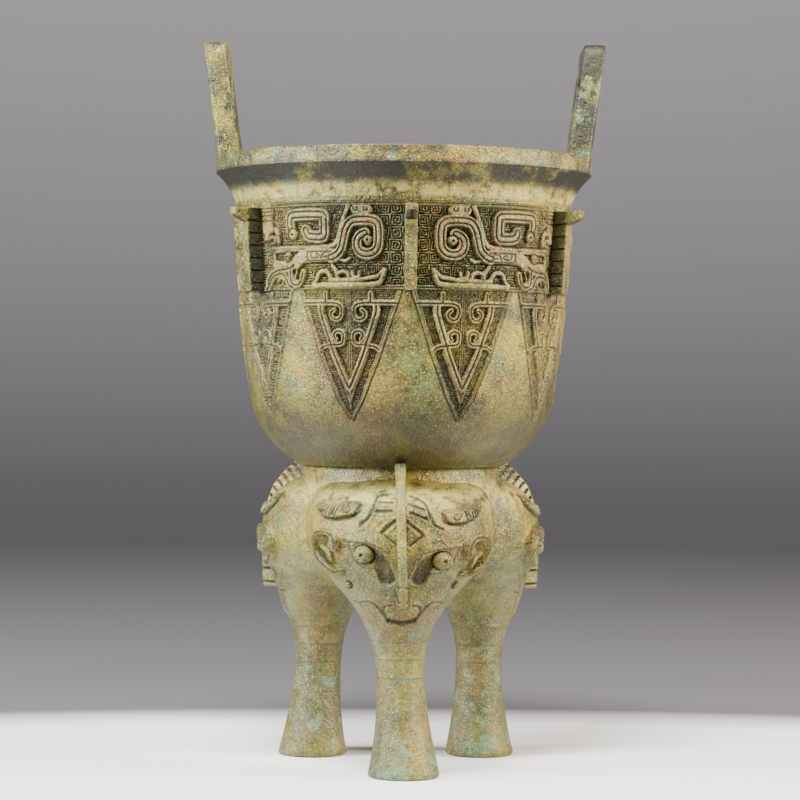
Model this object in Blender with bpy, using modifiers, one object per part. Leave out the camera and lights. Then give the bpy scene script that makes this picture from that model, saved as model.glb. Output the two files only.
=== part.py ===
"""Bronze steamer vessel, one casting: a deep bowl with two upright ears on a three-lobed tripod.

Metres, +Z up. The origin is on the floor under the bowl's axis, and the front leg points to -Y.
"""

import math

import bmesh
import bpy
from mathutils import Matrix, Vector

# Tripod, from the floor up: column legs, knees and round lobes
LEGS = 3
LEG_HEIGHT = 0.066
KNEE_HEIGHT = 0.098
DOME_HEIGHT = 0.040
LOBE_RADIUS = 0.065
LOBE_OFFSET = 0.0375
DOME_SQUARENESS = 3.2
NOSE_SQUARENESS = 2.25
NOSE_SPREAD = (math.radians(45), math.radians(90))
KNEE_UPPER_BEND = 0.34
KNEE_LOWER_BEND = 0.6
LEG_NECK_RADIUS = 0.0162
LEG_OFFSET = 0.066
SPLAY_TOP = 0.94
SPLAY_FOOT = 0.34
FOOT_OFFSET = 0.069
FOOT_RADIUS = 0.0247
FOOT_FLARE = 1.8
FOOT_CHAMFER = 0.0015
LOBE_TURN = math.radians(-3)
LOBE_TURN_HEIGHT = 0.1

# Hollow in each lobe
LOBE_WALL = 0.0052
CAVITY_RISE = 0.024

# Bowl, from the waist up
NECK_HEIGHT = 0.0045
BOTTOM_HEIGHT = 0.0495
WALL_HEIGHT = 0.131
COVE_HEIGHT = 0.021
LIP_HEIGHT = 0.011
WAIST_RADIUS = 0.0725
BELLY_RADIUS = 0.1065
NECK_RADIUS = 0.117
RIM_RADIUS = 0.131
RIM_WIDTH = 0.0085
BOTTOM_BEND = (0.89, 0.395)
WALL_SWELL = 0.0025
COVE_BEND = (0.28, 0.58)
BOWL_WALL = 0.0048
STUB_DEPTH = 0.020
STUB_RADIUS = 0.067
STUB_FOOT_RADIUS = 0.0705

# Ledge inside the waist, which carries a grate in use, and the throat through it
LEDGE_RISE = 0.0085
THROAT_RADIUS = 0.060

# Ears on the rim
EAR_TURN = math.radians(-3)
EAR_RISE = 0.079
EAR_BASE_WIDTH = 0.068
EAR_TOP_WIDTH = 0.060
EAR_BASE_THICKNESS = 0.013
EAR_TOP_THICKNESS = 0.015
EAR_LEAN = 0.008
EAR_BAR = 0.022
EAR_SIDE = 0.014
EAR_SILL = 0.004
EAR_CORNER = 0.010
EAR_ROOT = 0.0066

# Ornament band with its flanges, and the hanging blades below it
BAND_DROP = 0.0035
BAND_HEIGHT = 0.059
FLANGES = 6
FLANGE_THICKNESS = 0.008
FLANGE_DEPTH = 0.0106
FLANGE_TAB_DEPTH = 0.009
FLANGE_TAB_HEIGHT = 0.005
FLANGE_DROP = 0.003
BLADES = 9
BLADE_WIDTH = 0.072
BLADE_LENGTH = 0.086
BLADE_TURN = math.radians(-1.6)
RELIEF = 0.0024
RELIEF_ROOT = 0.002

# Flange down the forehead and nose of each mask
NOSE_THICKNESS = 0.0064
NOSE_DEPTH = 0.0125
NOSE_DROP = 0.0465
NOSE_TIP_STEP = 0.0005
BROW_STEP = 0.003
BROW_RISE = 0.0076
# Its edge over the brow: how far out of the lobe's centre, and how high over the lobe's widest
FOREHEAD = [(0.0720, 0.0166), (0.0670, 0.0273), (0.0582, 0.0370), (0.0490, 0.0435)]
FOREHEAD_TOP = 0.0475

# One dragon of the band: x runs from the divider flange towards its face flange, y up from
# the band's foot, both as shares of the band's height. Each entry is a width and a path.
DRAGON = {
    "tail": (0.13, [
        (1.33, 0.41), (0.92, 0.42), (0.75, 0.74), (0.68, 0.78), (0.43, 0.78), (0.35, 0.70),
        (0.36, 0.45), (0.56, 0.42), (0.59, 0.57), (0.51, 0.61),
    ]),
    "crest": (0.135, [
        (1.50, 0.63), (1.57, 0.71), (1.55, 0.86), (1.05, 0.86), (1.03, 0.63), (1.26, 0.60),
        (1.29, 0.68),
    ]),
    "plate": (0.12, [(0.73, 0.91), (0.41, 0.91)]),
    "snout": (0.09, [(1.88, 0.21), (1.74, 0.28), (1.47, 0.28), (1.33, 0.41)]),
    "fang": (0.07, [(1.48, 0.26), (1.47, 0.08), (1.36, 0.09)]),
    "jaw": (0.07, [(1.86, 0.02), (1.81, 0.19), (1.63, 0.19), (1.56, 0.06)]),
    "curl": (0.08, [(1.86, 0.58), (1.83, 0.67), (1.73, 0.57)]),
    "limb": (0.075, [(1.19, 0.05), (0.41, 0.06), (0.32, 0.12), (0.28, 0.24)]),
    "paw": (0.07, [(1.12, 0.19), (1.00, 0.19), (0.96, 0.12)]),
    "spur": (0.07, [(0.90, 0.26), (0.87, 0.12)]),
}
DRAGON_EYE = (1.565, 0.385)
DRAGON_EYE_RADIUS = 0.058
DRAGON_EYE_LIFT = 1.5

# Half of a hanging blade's scroll, as shares of its length: x from its middle line, y down
BLADE = [(0.10, 0.20), (0.04, 0.20), (0.05, 0.11), (0.22, 0.11), (0.225, 0.20), (-0.004, 0.76)]
BLADE_SCROLL_WIDTH = 0.055
BLADE_EDGE_WIDTH = 0.028
BLADE_POINT = 0.97

# Half of a mask: x in degrees round the lobe from its nose, y from its widest height, as a
# share of the lobe's radius. Each entry is a width, a lift and a path.
MASK = {
    "horn": (0.19, 1.5, [(28, 0.22), (42, 0.215), (57, 0.27)]),
    "ear": (0.09, 1.6, [(48, -0.12), (58, -0.01), (61, -0.22), (51, -0.41)]),
    "brow": (0.055, 1.0, [(35, -0.07), (9, -0.13), (8, -0.50)]),
    "wrinkle": (0.055, 1.0, [(4, 0.34), (23, 0.10)]),
    "lip": (0.065, 1.0, [(56, -0.64), (38, -0.73), (18, -0.80)]),
}
MASK_EYE = (26, -0.22)
MASK_EYE_RADIUS = 0.098
MASK_EYE_LIFT = 1.65
MASK_FANG = (50, -0.52)
MASK_FANG_RADIUS = 0.06

# How finely the round forms are cut, and how deep a joined form reaches into its neighbour
BOWL_SIDES = 36
BOWL_INSIDE_SIDES = 24
LOBE_SIDES = 16
LOBE_INSIDE_SIDES = 12
DOME_RINGS = (78, 55, 28)
CAVITY_RINGS = (1, 0.7, 0.45, 0.2)
ROOT = 0.003
CLEAR = 0.02

# Heights that follow from the sizes above
LOBE_Z = LEG_HEIGHT + KNEE_HEIGHT
LOBE_TOP_Z = LOBE_Z + DOME_HEIGHT
CAVITY_FLOOR_Z = LEG_HEIGHT + CAVITY_RISE
WAIST_Z = LOBE_TOP_Z + NECK_HEIGHT
BELLY_Z = WAIST_Z + BOTTOM_HEIGHT
COVE_FOOT_Z = BELLY_Z + WALL_HEIGHT
LIP_Z = COVE_FOOT_Z + COVE_HEIGHT
RIM_Z = LIP_Z + LIP_HEIGHT
BAND_Z = COVE_FOOT_Z - BAND_DROP - BAND_HEIGHT


def mix(first, second, share):
    return first + (second - first) * share


def smooth(share):
    share = min(max(share, 0.0), 1.0)
    return share * share * (3 - 2 * share)


def between(first, second, shares):
    """A point placed by its own share of the way in each coordinate."""
    return Vector((mix(first.x, second.x, shares[0]), mix(first.y, second.y, shares[1])))


def bezier(controls, steps):
    """Points of the Bezier curve, its first control point left out."""
    points = []
    for step in range(1, steps + 1):
        level = [Vector(control) for control in controls]
        while len(level) > 1:
            level = [a.lerp(b, step / steps) for a, b in zip(level, level[1:])]
        points.append(level[0])
    return points


def bowl_outline():
    """Outer side of the bowl from the rim down to the waist, as (radius, height)."""
    rim = Vector((RIM_RADIUS, RIM_Z))
    lip = Vector((RIM_RADIUS, LIP_Z))
    neck = Vector((NECK_RADIUS, COVE_FOOT_Z))
    belly = Vector((BELLY_RADIUS, BELLY_Z))
    waist = Vector((WAIST_RADIUS, WAIST_Z))
    cove_bend = between(neck, lip, COVE_BEND)
    wall_bend = (neck + belly) / 2 + Vector((WALL_SWELL, 0))
    cove = bezier((lip, cove_bend, neck), 2)
    wall = bezier((neck, wall_bend, belly), 2)
    bottom = bezier((belly, between(waist, belly, BOTTOM_BEND), waist), 4)
    return [rim, lip, *cove, *wall, *bottom]


def radius_at(outline, height):
    """Radius of an outline, which runs downwards, at a height."""
    for upper, lower in zip(outline, outline[1:]):
        if lower.y <= height < upper.y:
            return mix(lower.x, upper.x, (height - lower.y) / (upper.y - lower.y))
    return outline[0].x if height >= outline[0].y else outline[-1].x


def inset(outline, wall):
    """The outline moved inwards by the wall's thickness, square to its own run."""
    moved = []
    for index, point in enumerate(outline):
        before = outline[max(index - 1, 0)]
        after = outline[min(index + 1, len(outline) - 1)]
        run = (after - before).normalized()
        moved.append(point + wall * Vector((run.y, -run.x)))
    return moved


def lobe_radius(height, angle=math.pi):
    """Radius of a lobe's section. The dome falls away softer towards the nose, at angle 0."""
    if height >= LOBE_Z:
        rise = min((height - LOBE_Z) / DOME_HEIGHT, 1.0)
        side = smooth((abs(angle) - NOSE_SPREAD[0]) / (NOSE_SPREAD[1] - NOSE_SPREAD[0]))
        squareness = mix(NOSE_SQUARENESS, DOME_SQUARENESS, side)
        return LOBE_RADIUS * (1 - rise**squareness) ** (1 / squareness)
    if height <= LEG_HEIGHT:
        return mix(LEG_NECK_RADIUS, FOOT_RADIUS, (1 - height / LEG_HEIGHT) ** FOOT_FLARE)
    return radius_at(knee_curve(24), height)


def knee_curve(steps):
    """The lobe drawn in to the column of the leg, as (radius, height) downwards."""
    widest = Vector((LOBE_RADIUS, LOBE_Z))
    neck = Vector((LEG_NECK_RADIUS, LEG_HEIGHT))
    upper = widest - Vector((0, KNEE_UPPER_BEND * KNEE_HEIGHT))
    lower = neck + Vector((0, KNEE_LOWER_BEND * KNEE_HEIGHT))
    return [widest, *bezier((widest, upper, lower, neck), steps)]


def lobe_centre(height):
    """Distance of a lobe's section from the bowl's axis: the leg stands further out."""
    top = mix(LEG_HEIGHT, LOBE_Z, SPLAY_TOP)
    foot = mix(LEG_HEIGHT, LOBE_Z, SPLAY_FOOT)
    out = smooth((top - height) / (top - foot))
    splay = (FOOT_OFFSET - LEG_OFFSET) * max(1 - height / LEG_HEIGHT, 0.0)
    return mix(LOBE_OFFSET, LEG_OFFSET, out) + splay


def leg_turn(leg, height):
    """Turn about the axis of a leg's section: the lobes stand a little turned from the feet."""
    swing = LOBE_TURN * smooth(height / LOBE_TURN_HEIGHT)
    return Matrix.Rotation(leg * math.tau / LEGS + swing, 4, "Z")


def on_wall(azimuth):
    """Wraps a flat pattern onto the bowl: x runs round it, y up from the band's foot."""
    outline = bowl_outline()
    true_radius = radius_at(outline, BAND_Z)

    def place(point):
        height = BAND_Z + point.y
        radius = radius_at(outline, height) + point.z
        angle = azimuth + point.x / true_radius
        return Vector((radius * math.sin(angle), -radius * math.cos(angle), height))

    return place


def on_lobe(leg):
    """Wraps a flat pattern onto a lobe: x is an angle in degrees round it, y a height."""

    def place(point):
        angle = math.radians(point.x)
        radius = lobe_radius(point.y, angle) + point.z
        out = -lobe_centre(point.y) - radius * math.cos(angle)
        return leg_turn(leg, point.y) @ Vector((radius * math.sin(angle), out, point.y))

    return place


def collection(name, hidden):
    made = bpy.data.collections.new(name)
    made.hide_render = hidden
    bpy.context.scene.collection.children.link(made)
    return made


def put(mesh, home):
    """Links a mesh as an object. In a helper collection it is a guide, drawn as wire."""
    obj = bpy.data.objects.new(mesh.name, mesh)
    home.objects.link(obj)
    if home.hide_render:
        obj.hide_render = True
        obj.display_type = "WIRE"
    return obj


def baked(obj, name):
    """The object's evaluated mesh with its caps welded. The object itself is removed."""
    bpy.context.view_layer.update()
    graph = bpy.context.evaluated_depsgraph_get()
    mesh = bpy.data.meshes.new_from_object(obj.evaluated_get(graph))
    mesh.name = name
    bpy.data.objects.remove(obj)
    bm = bmesh.new()
    bm.from_mesh(mesh)
    bmesh.ops.remove_doubles(bm, verts=bm.verts, dist=1e-6)
    bmesh.ops.recalc_face_normals(bm, faces=bm.faces)
    bm.to_mesh(mesh)
    bm.free()
    return mesh


def turned(name, profile, sides):
    """Solid of revolution of a profile that runs from the axis down its outer side."""
    mesh = bpy.data.meshes.new(name)
    bm = bmesh.new()
    verts = [bm.verts.new((point[0], 0, point[1])) for point in profile]
    for first, second in zip(verts, verts[1:]):
        bm.edges.new((first, second))
    bm.to_mesh(mesh)
    bm.free()
    obj = bpy.data.objects.new(name, mesh)
    bpy.context.scene.collection.objects.link(obj)
    screw = obj.modifiers.new("turn", "SCREW")
    screw.steps = sides
    screw.render_steps = sides
    screw.use_merge_vertices = True
    screw.merge_threshold = 0.00001
    return baked(obj, name)


def plate(name, outlines, thickness):
    """Flat plate in XY with the given outlines, the inner ones as holes, centred on Z."""
    curve = bpy.data.curves.new(name, "CURVE")
    curve.dimensions = "2D"
    curve.fill_mode = "BOTH"
    curve.extrude = thickness / 2
    for outline in outlines:
        spline = curve.splines.new("POLY")
        spline.points.add(len(outline) - 1)
        for point, place in zip(spline.points, outline):
            point.co = (place[0], place[1], 0, 1)
        spline.use_cyclic_u = True
    obj = bpy.data.objects.new(name, curve)
    bpy.context.scene.collection.objects.link(obj)
    return baked(obj, name)


def lobe_profile(wall):
    """Profile of a lobe with its leg, or of the hollow inside them where wall is above 0."""
    top = LOBE_TOP_Z - wall
    profile = [(0, top)]
    for angle in DOME_RINGS:
        rise = math.sin(math.radians(angle))
        radius = lobe_radius(mix(LOBE_Z, LOBE_TOP_Z, rise)) - wall
        profile.append((radius, mix(LOBE_Z, top, rise)))
    if wall == 0:
        profile += [(point.x, point.y) for point in knee_curve(6)]
        profile.append((lobe_radius(LEG_HEIGHT / 2), LEG_HEIGHT / 2))
        profile += [(FOOT_RADIUS, FOOT_CHAMFER), (FOOT_RADIUS - FOOT_CHAMFER, 0), (0, 0)]
        return profile
    for share in CAVITY_RINGS:
        height = mix(CAVITY_FLOOR_Z, LOBE_Z, share)
        profile.append((lobe_radius(height) - wall, height))
    floor = lobe_radius(CAVITY_FLOOR_Z) - wall
    profile += [(floor * 0.7, CAVITY_FLOOR_Z - floor * 0.5), (0, CAVITY_FLOOR_Z - floor * 0.7)]
    return profile


def lobe(leg, wall, home):
    """One lobe with its leg, or the hollow in it: a turned shape, drawn in over the nose, whose
    rings are moved out."""
    sides = LOBE_INSIDE_SIDES if wall else LOBE_SIDES
    mesh = turned(f"{'hollow' if wall else 'lobe'}_{leg}", lobe_profile(wall), sides)
    stretch = DOME_HEIGHT / (DOME_HEIGHT - wall)
    for vertex in mesh.vertices:
        outside = mix(LOBE_Z, vertex.co.z, stretch)
        reach = vertex.co.xy.length
        if outside > LOBE_Z and reach > 0:
            angle = math.atan2(vertex.co.x, -vertex.co.y)
            drawn_in = lobe_radius(outside) - lobe_radius(outside, angle)
            vertex.co.xy *= 1 - drawn_in / reach
        vertex.co.y -= lobe_centre(vertex.co.z)
        vertex.co = leg_turn(leg, vertex.co.z) @ vertex.co
    return put(mesh, home)


def bowl_core(home):
    """The bowl without its hollow, with a stub under the waist that the lobes grow from."""
    stub_z = WAIST_Z - STUB_DEPTH
    profile = [(0, RIM_Z), *bowl_outline(), (STUB_RADIUS, WAIST_Z)]
    profile += [(STUB_FOOT_RADIUS, stub_z), (0, stub_z)]
    return put(turned("bowl_core", profile, BOWL_SIDES), home)


def bowl_hollow(home):
    """Inside of the bowl down to the ledge, and the throat through the waist."""
    outline = bowl_outline()
    inner = inset(outline[3:], BOWL_WALL)
    mouth = RIM_RADIUS - RIM_WIDTH
    ledge_z = WAIST_Z + LEDGE_RISE
    throat_foot = WAIST_Z - STUB_DEPTH - CLEAR
    profile = [(0, RIM_Z + CLEAR), (mouth, RIM_Z + CLEAR), (mouth, RIM_Z)]
    profile += [(point.x, point.y) for point in inner if point.y > ledge_z + BOWL_WALL]
    profile += [(radius_at(inner, ledge_z), ledge_z), (THROAT_RADIUS, ledge_z)]
    profile += [(THROAT_RADIUS, throat_foot), (0, throat_foot)]
    return put(turned("bowl_hollow", profile, BOWL_INSIDE_SIDES), home)


def upright(mesh, turn):
    """Stands a plate up: its x points out from the axis and its y up, then turns it."""
    stand = Matrix(((0, 0, -1, 0), (-1, 0, 0, 0), (0, 1, 0, 0), (0, 0, 0, 1)))
    mesh.transform(turn @ stand)
    return mesh


def band_flange(index, home):
    """Flange across the ornament band, with a tab hooked outwards at its head."""
    outline = bowl_outline()
    foot = radius_at(outline, BAND_Z)
    head_z = BAND_Z + BAND_HEIGHT - FLANGE_DROP
    head = radius_at(outline, head_z)
    edge = head + FLANGE_DEPTH
    points = [
        (foot - ROOT, BAND_Z),
        (foot + FLANGE_DEPTH, BAND_Z),
        (edge, head_z - 2 * FLANGE_TAB_HEIGHT),
        (edge + FLANGE_TAB_DEPTH, head_z - FLANGE_TAB_HEIGHT),
        (edge + FLANGE_TAB_DEPTH, head_z),
        (head - ROOT, head_z),
    ]
    turn = Matrix.Rotation(index * math.tau / FLANGES, 4, "Z")
    mesh = plate(f"band_flange_{index}", [points], FLANGE_THICKNESS)
    return put(upright(mesh, turn), home)


def nose_flange(leg, home):
    """Flange down the forehead and nose of a mask, cut off square above the mouth."""
    foot_z = LOBE_Z - NOSE_DROP
    foot = lobe_centre(foot_z) + lobe_radius(foot_z)
    face = LOBE_OFFSET + LOBE_RADIUS + NOSE_DEPTH
    forehead = [(LOBE_OFFSET + out, LOBE_Z + rise) for out, rise in FOREHEAD]
    top_z = LOBE_Z + FOREHEAD_TOP
    points = [
        (foot - ROOT, foot_z),
        (face - NOSE_TIP_STEP, foot_z),
        (face, mix(foot_z, LOBE_Z, 0.7)),
        (face - BROW_STEP, LOBE_Z + BROW_RISE),
        *forehead,
        (forehead[-1][0], top_z),
        (WAIST_RADIUS, top_z),
        (WAIST_RADIUS - ROOT, LOBE_Z),
    ]
    mesh = plate(f"nose_flange_{leg}", [points], NOSE_THICKNESS)
    return put(upright(mesh, leg_turn(leg, LOBE_Z)), home)


def ear(side, home):
    """Upright loop on the rim. It leans out, thickens to its top and follows the rim at its foot."""
    height = EAR_RISE + EAR_ROOT
    half_base, half_top = EAR_BASE_WIDTH / 2, EAR_TOP_WIDTH / 2
    top = EAR_RISE
    cut = EAR_CORNER * (1 - math.sqrt(0.5))
    outer = [
        (-half_base, -EAR_ROOT),
        (half_base, -EAR_ROOT),
        (half_top, top - EAR_CORNER),
        (half_top - cut, top - cut),
        (half_top - EAR_CORNER, top),
        (EAR_CORNER - half_top, top),
        (cut - half_top, top - cut),
        (-half_top, top - EAR_CORNER),
    ]
    head = top - EAR_BAR
    hole = [
        (EAR_SIDE - half_base, EAR_SILL),
        (half_base - EAR_SIDE, EAR_SILL),
        (half_top - EAR_SIDE, head - EAR_CORNER / 2),
        (half_top - EAR_SIDE - EAR_CORNER / 2, head),
        (EAR_SIDE + EAR_CORNER / 2 - half_top, head),
        (EAR_SIDE - half_top, head - EAR_CORNER / 2),
    ]
    mesh = plate(f"ear_{side:+d}", [outer, hole], 1.0)
    turn = Matrix.Rotation(side * math.pi / 2 + EAR_TURN, 4, "Z")
    for vertex in mesh.vertices:
        across, up, through = vertex.co
        share = (up + EAR_ROOT) / height
        bow = RIM_RADIUS - math.sqrt(RIM_RADIUS**2 - across**2)
        outer_face = RIM_RADIUS + EAR_LEAN * share - bow * (1 - smooth(share))
        thickness = mix(EAR_BASE_THICKNESS, EAR_TOP_THICKNESS, share)
        out = outer_face - thickness * (0.5 - through)
        vertex.co = turn @ Vector((across, -out, RIM_Z + up))
    mesh.update()
    bm = bmesh.new()
    bm.from_mesh(mesh)
    bmesh.ops.recalc_face_normals(bm, faces=bm.faces)
    bm.to_mesh(mesh)
    bm.free()
    return put(mesh, home)


def wrapped(name, bm, place, home):
    """Wraps a flat solid onto the vessel and links it."""
    for vert in bm.verts:
        vert.co = place(vert.co)
    bm.normal_update()
    bmesh.ops.recalc_face_normals(bm, faces=bm.faces)
    mesh = bpy.data.meshes.new(name)
    bm.to_mesh(mesh)
    bm.free()
    return put(mesh, home)


def ribbon(name, path, width, place, home, lift=RELIEF, unit=(1.0, 1.0)):
    """Raised band along a flat path. unit is one metre of width in the pattern's x and y."""
    spans = len(path) - 1
    bm = bmesh.new()
    bmesh.ops.create_grid(bm, x_segments=spans, y_segments=1, size=0.5)
    points = [Vector((x / unit[0], y / unit[1])) for x, y in path]
    for vert in bm.verts:
        index = round((vert.co.x + 0.5) * spans)
        before = (points[index] - points[max(index - 1, 0)]).normalized()
        after = (points[min(index + 1, spans)] - points[index]).normalized()
        run = (before + after).normalized()
        miter = 1 / max(run.dot(before if index else after), 0.6)
        side = Vector((-run.y, run.x)) * miter * width * vert.co.y
        spot = points[index] + side
        vert.co = (spot.x * unit[0], spot.y * unit[1], lift)
    raised = bmesh.ops.extrude_face_region(bm, geom=bm.faces[:])["geom"]
    for vert in raised:
        if isinstance(vert, bmesh.types.BMVert):
            vert.co.z = -RELIEF_ROOT
    return wrapped(name, bm, place, home)


def boss(name, centre, radius, lift, place, home, unit=(1.0, 1.0)):
    """Low round knob on the flat pattern, narrower at its top."""
    bm = bmesh.new()
    depth = lift + RELIEF_ROOT
    bmesh.ops.create_cone(
        bm, cap_ends=True, segments=6, radius1=radius, radius2=radius * 0.6, depth=depth
    )
    for vert in bm.verts:
        vert.co.x = centre[0] + vert.co.x * unit[0]
        vert.co.y = centre[1] + vert.co.y * unit[1]
        vert.co.z += depth / 2 - RELIEF_ROOT
    return wrapped(name, bm, place, home)


def dragon(panel, home):
    """One dragon between a divider flange and a face flange. Neighbours mirror each other."""
    step = math.tau / FLANGES
    divider = (panel + 1) // 2 * 2 * step
    mirror = 1 if panel % 2 == 0 else -1
    place = on_wall(divider)
    across = BAND_HEIGHT * mirror
    for part, (width, path) in DRAGON.items():
        points = [(x * across, y * BAND_HEIGHT) for x, y in path]
        ribbon(f"{part}_{panel}", points, width * BAND_HEIGHT, place, home)
    eye = (DRAGON_EYE[0] * across, DRAGON_EYE[1] * BAND_HEIGHT)
    radius = DRAGON_EYE_RADIUS * BAND_HEIGHT
    boss(f"dragon_eye_{panel}", eye, radius, DRAGON_EYE_LIFT * RELIEF, place, home)


def blade(index, home):
    """A hanging blade: a V-shaped edge round a pair of scrolls that run down to a point."""
    place = on_wall((index + 0.5) * math.tau / BLADES + BLADE_TURN)
    half = (BLADE_WIDTH - BLADE_EDGE_WIDTH * BLADE_LENGTH) / 2
    edge = [(-half, 0), (0, -BLADE_LENGTH * BLADE_POINT), (half, 0)]
    ribbon(f"blade_edge_{index}", edge, BLADE_EDGE_WIDTH * BLADE_LENGTH, place, home)
    for side in (1, -1):
        points = [(side * x * BLADE_LENGTH, -y * BLADE_LENGTH) for x, y in BLADE]
        ribbon(f"scroll_{index}_{side:+d}", points, BLADE_SCROLL_WIDTH * BLADE_LENGTH, place, home)


def mask(leg, home):
    """The beast mask on a lobe, either side of its nose flange."""
    place = on_lobe(leg)
    degrees = math.degrees(1 / LOBE_RADIUS)
    unit = (degrees, 1.0)
    for side in (1, -1):
        for part, (width, lift, path) in MASK.items():
            points = [(side * x, LOBE_Z + y * LOBE_RADIUS) for x, y in path]
            name = f"mask_{part}_{leg}_{side:+d}"
            ribbon(name, points, width * LOBE_RADIUS, place, home, lift * RELIEF, unit)
        eye = (side * MASK_EYE[0], LOBE_Z + MASK_EYE[1] * LOBE_RADIUS)
        eye_radius = MASK_EYE_RADIUS * LOBE_RADIUS
        eye_lift = MASK_EYE_LIFT * RELIEF
        boss(f"mask_eye_{leg}_{side:+d}", eye, eye_radius, eye_lift, place, home, unit)
        fang = (side * MASK_FANG[0], LOBE_Z + MASK_FANG[1] * LOBE_RADIUS)
        fang_radius = MASK_FANG_RADIUS * LOBE_RADIUS
        boss(f"mask_fang_{leg}_{side:+d}", fang, fang_radius, RELIEF, place, home, unit)


def boolean(obj, name, operation, operands):
    modifier = obj.modifiers.new(name, "BOOLEAN")
    modifier.operation = operation
    modifier.solver = "MANIFOLD"
    modifier.operand_type = "COLLECTION"
    modifier.collection = operands
    return modifier


def bronze():
    """Old cast bronze under an olive-green patina."""
    material = bpy.data.materials.new("patinated_bronze")
    material.use_nodes = True
    shader = material.node_tree.nodes["Principled BSDF"]
    shader.inputs["Base Color"].default_value = (0.27, 0.25, 0.10, 1)
    shader.inputs["Roughness"].default_value = 0.55
    shader.inputs["Metallic"].default_value = 0.35
    return material


def main():
    for obj in list(bpy.data.objects):
        bpy.data.objects.remove(obj)
    parts = collection("steamer_vessel", False)
    solids = collection("cast_forms", True)
    hollows = collection("hollows", True)
    ears = collection("ears", True)
    vessel = bowl_core(parts)
    vessel.name = "steamer_vessel"
    for leg in range(LEGS):
        lobe(leg, 0, solids)
        lobe(leg, LOBE_WALL, hollows)
        nose_flange(leg, solids)
        mask(leg, solids)
    for index in range(FLANGES):
        band_flange(index, solids)
        dragon(index, solids)
    for index in range(BLADES):
        blade(index, solids)
    bowl_hollow(hollows)
    for side in (-1, 1):
        ear(side, ears)
    boolean(vessel, "forms", "UNION", solids)
    boolean(vessel, "hollow", "DIFFERENCE", hollows)
    boolean(vessel, "ears", "UNION", ears)
    flat = vessel.modifiers.new("flat", "DECIMATE")
    flat.decimate_type = "DISSOLVE"
    flat.angle_limit = math.radians(1)
    vessel.data.materials.append(bronze())
    vessel.data.shade_smooth()
    vessel.data.set_sharp_from_angle(angle=math.radians(35))


main()
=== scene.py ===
"""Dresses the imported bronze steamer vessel: cast relief, beast masks and an old olive patina.

Lengths are metres in the CAD frame, and flat ornament patterns are drawn in millimetres.
"""

import logging
import math
from collections.abc import Callable, Sequence
from dataclasses import dataclass
from enum import Enum
from typing import Any

import bmesh
import bpy
import numpy as np
from mathutils import Matrix, Vector


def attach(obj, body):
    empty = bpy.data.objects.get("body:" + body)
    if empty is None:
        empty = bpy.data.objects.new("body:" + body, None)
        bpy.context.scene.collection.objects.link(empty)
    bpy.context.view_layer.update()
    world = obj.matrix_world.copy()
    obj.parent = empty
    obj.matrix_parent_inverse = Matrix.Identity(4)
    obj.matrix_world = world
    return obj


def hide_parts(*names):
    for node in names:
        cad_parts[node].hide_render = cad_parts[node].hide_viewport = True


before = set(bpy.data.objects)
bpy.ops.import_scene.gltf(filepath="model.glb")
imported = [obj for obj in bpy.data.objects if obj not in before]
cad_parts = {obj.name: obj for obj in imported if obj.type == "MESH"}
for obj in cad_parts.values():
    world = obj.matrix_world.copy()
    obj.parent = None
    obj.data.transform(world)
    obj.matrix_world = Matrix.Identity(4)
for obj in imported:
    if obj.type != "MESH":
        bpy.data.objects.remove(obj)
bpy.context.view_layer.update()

NODE = "steamer_vessel"
SLOT = "patinated_bronze"
BODY = "root"
MM = 0.001
# Vertices this close are the same one
SEAM = 2e-6

Path = Sequence[tuple[float, float]]
# Radius of the corners at a foot and at a head
Corners = tuple[float, float]
# Heights over which a colour comes in, and the pair over which it comes in and goes
Fade = tuple[float, float]
Zone = tuple[Fade, Fade]
# Width of a pattern's patches in millimetres, its shift in metres and its detail
Pattern = tuple[float, float, float]
Sampler = Callable[[np.ndarray, np.ndarray], "Relief"]
log = logging.getLogger("steamer_vessel")


class Side(Enum):
    """The two sides of a mirrored form, as the sign of its x."""

    LEFT = -1
    RIGHT = 1


class Spot(Enum):
    """The three stations round the vessel's threefold order, in degrees from the front."""

    FRONT = 0
    RIGHT = 120
    LEFT = 240


def eased(share: np.ndarray | float) -> np.ndarray:
    """Share of a smooth step, flat at 0 and at 1."""
    share = np.clip(share, 0.0, 1.0)
    return share * share * (3 - 2 * share)


def bezier(controls: Path, count: int) -> np.ndarray:
    """Points of a Bezier curve.

    Args:
        controls: The curve's control points.
        count: How many points to return, both ends with them.

    Returns:
        An array of points, one row each.
    """
    share = np.linspace(0.0, 1.0, count)[:, None]
    level = [np.array(control, float) + 0 * share for control in controls]
    while len(level) > 1:
        level = [first + (second - first) * share for first, second in zip(level, level[1:])]
    return level[0]


def rounded(path: Path, passes: int = 2) -> np.ndarray:
    """The path with its corners cut, both ends kept.

    Args:
        path: Corner points.
        passes: How many times each corner is cut.

    Returns:
        The rounder path's points.
    """
    points = np.array(path, float)
    for _ in range(passes if len(points) > 2 else 0):
        first, second = points[:-1], points[1:]
        cut = np.stack([first * 0.75 + second * 0.25, first * 0.25 + second * 0.75], 1)
        inner = cut.reshape(-1, 2)[1:-1]
        points = np.vstack([points[:1], inner, points[-1:]])
    return points


def around(across: np.ndarray, out: np.ndarray, height: np.ndarray, turn: np.ndarray | float) -> np.ndarray:
    """Points in space of places in an upright plane through the vessel's axis.

    Args:
        across: How far each point stands to the plane's side.
        out: How far it stands out from the axis.
        height: Its height over the floor.
        turn: The plane's angle from the front, in radians.

    Returns:
        One row of x, y, z for each point.
    """
    x = across * np.cos(turn) + out * np.sin(turn)
    y = across * np.sin(turn) - out * np.cos(turn)
    return np.stack([x, y, height + 0 * x], -1)


def coordinates(bm: bmesh.types.BMesh) -> np.ndarray:
    """The bmesh's vertex places, one row each."""
    return np.array([vert.co[:] for vert in bm.verts])


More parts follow.
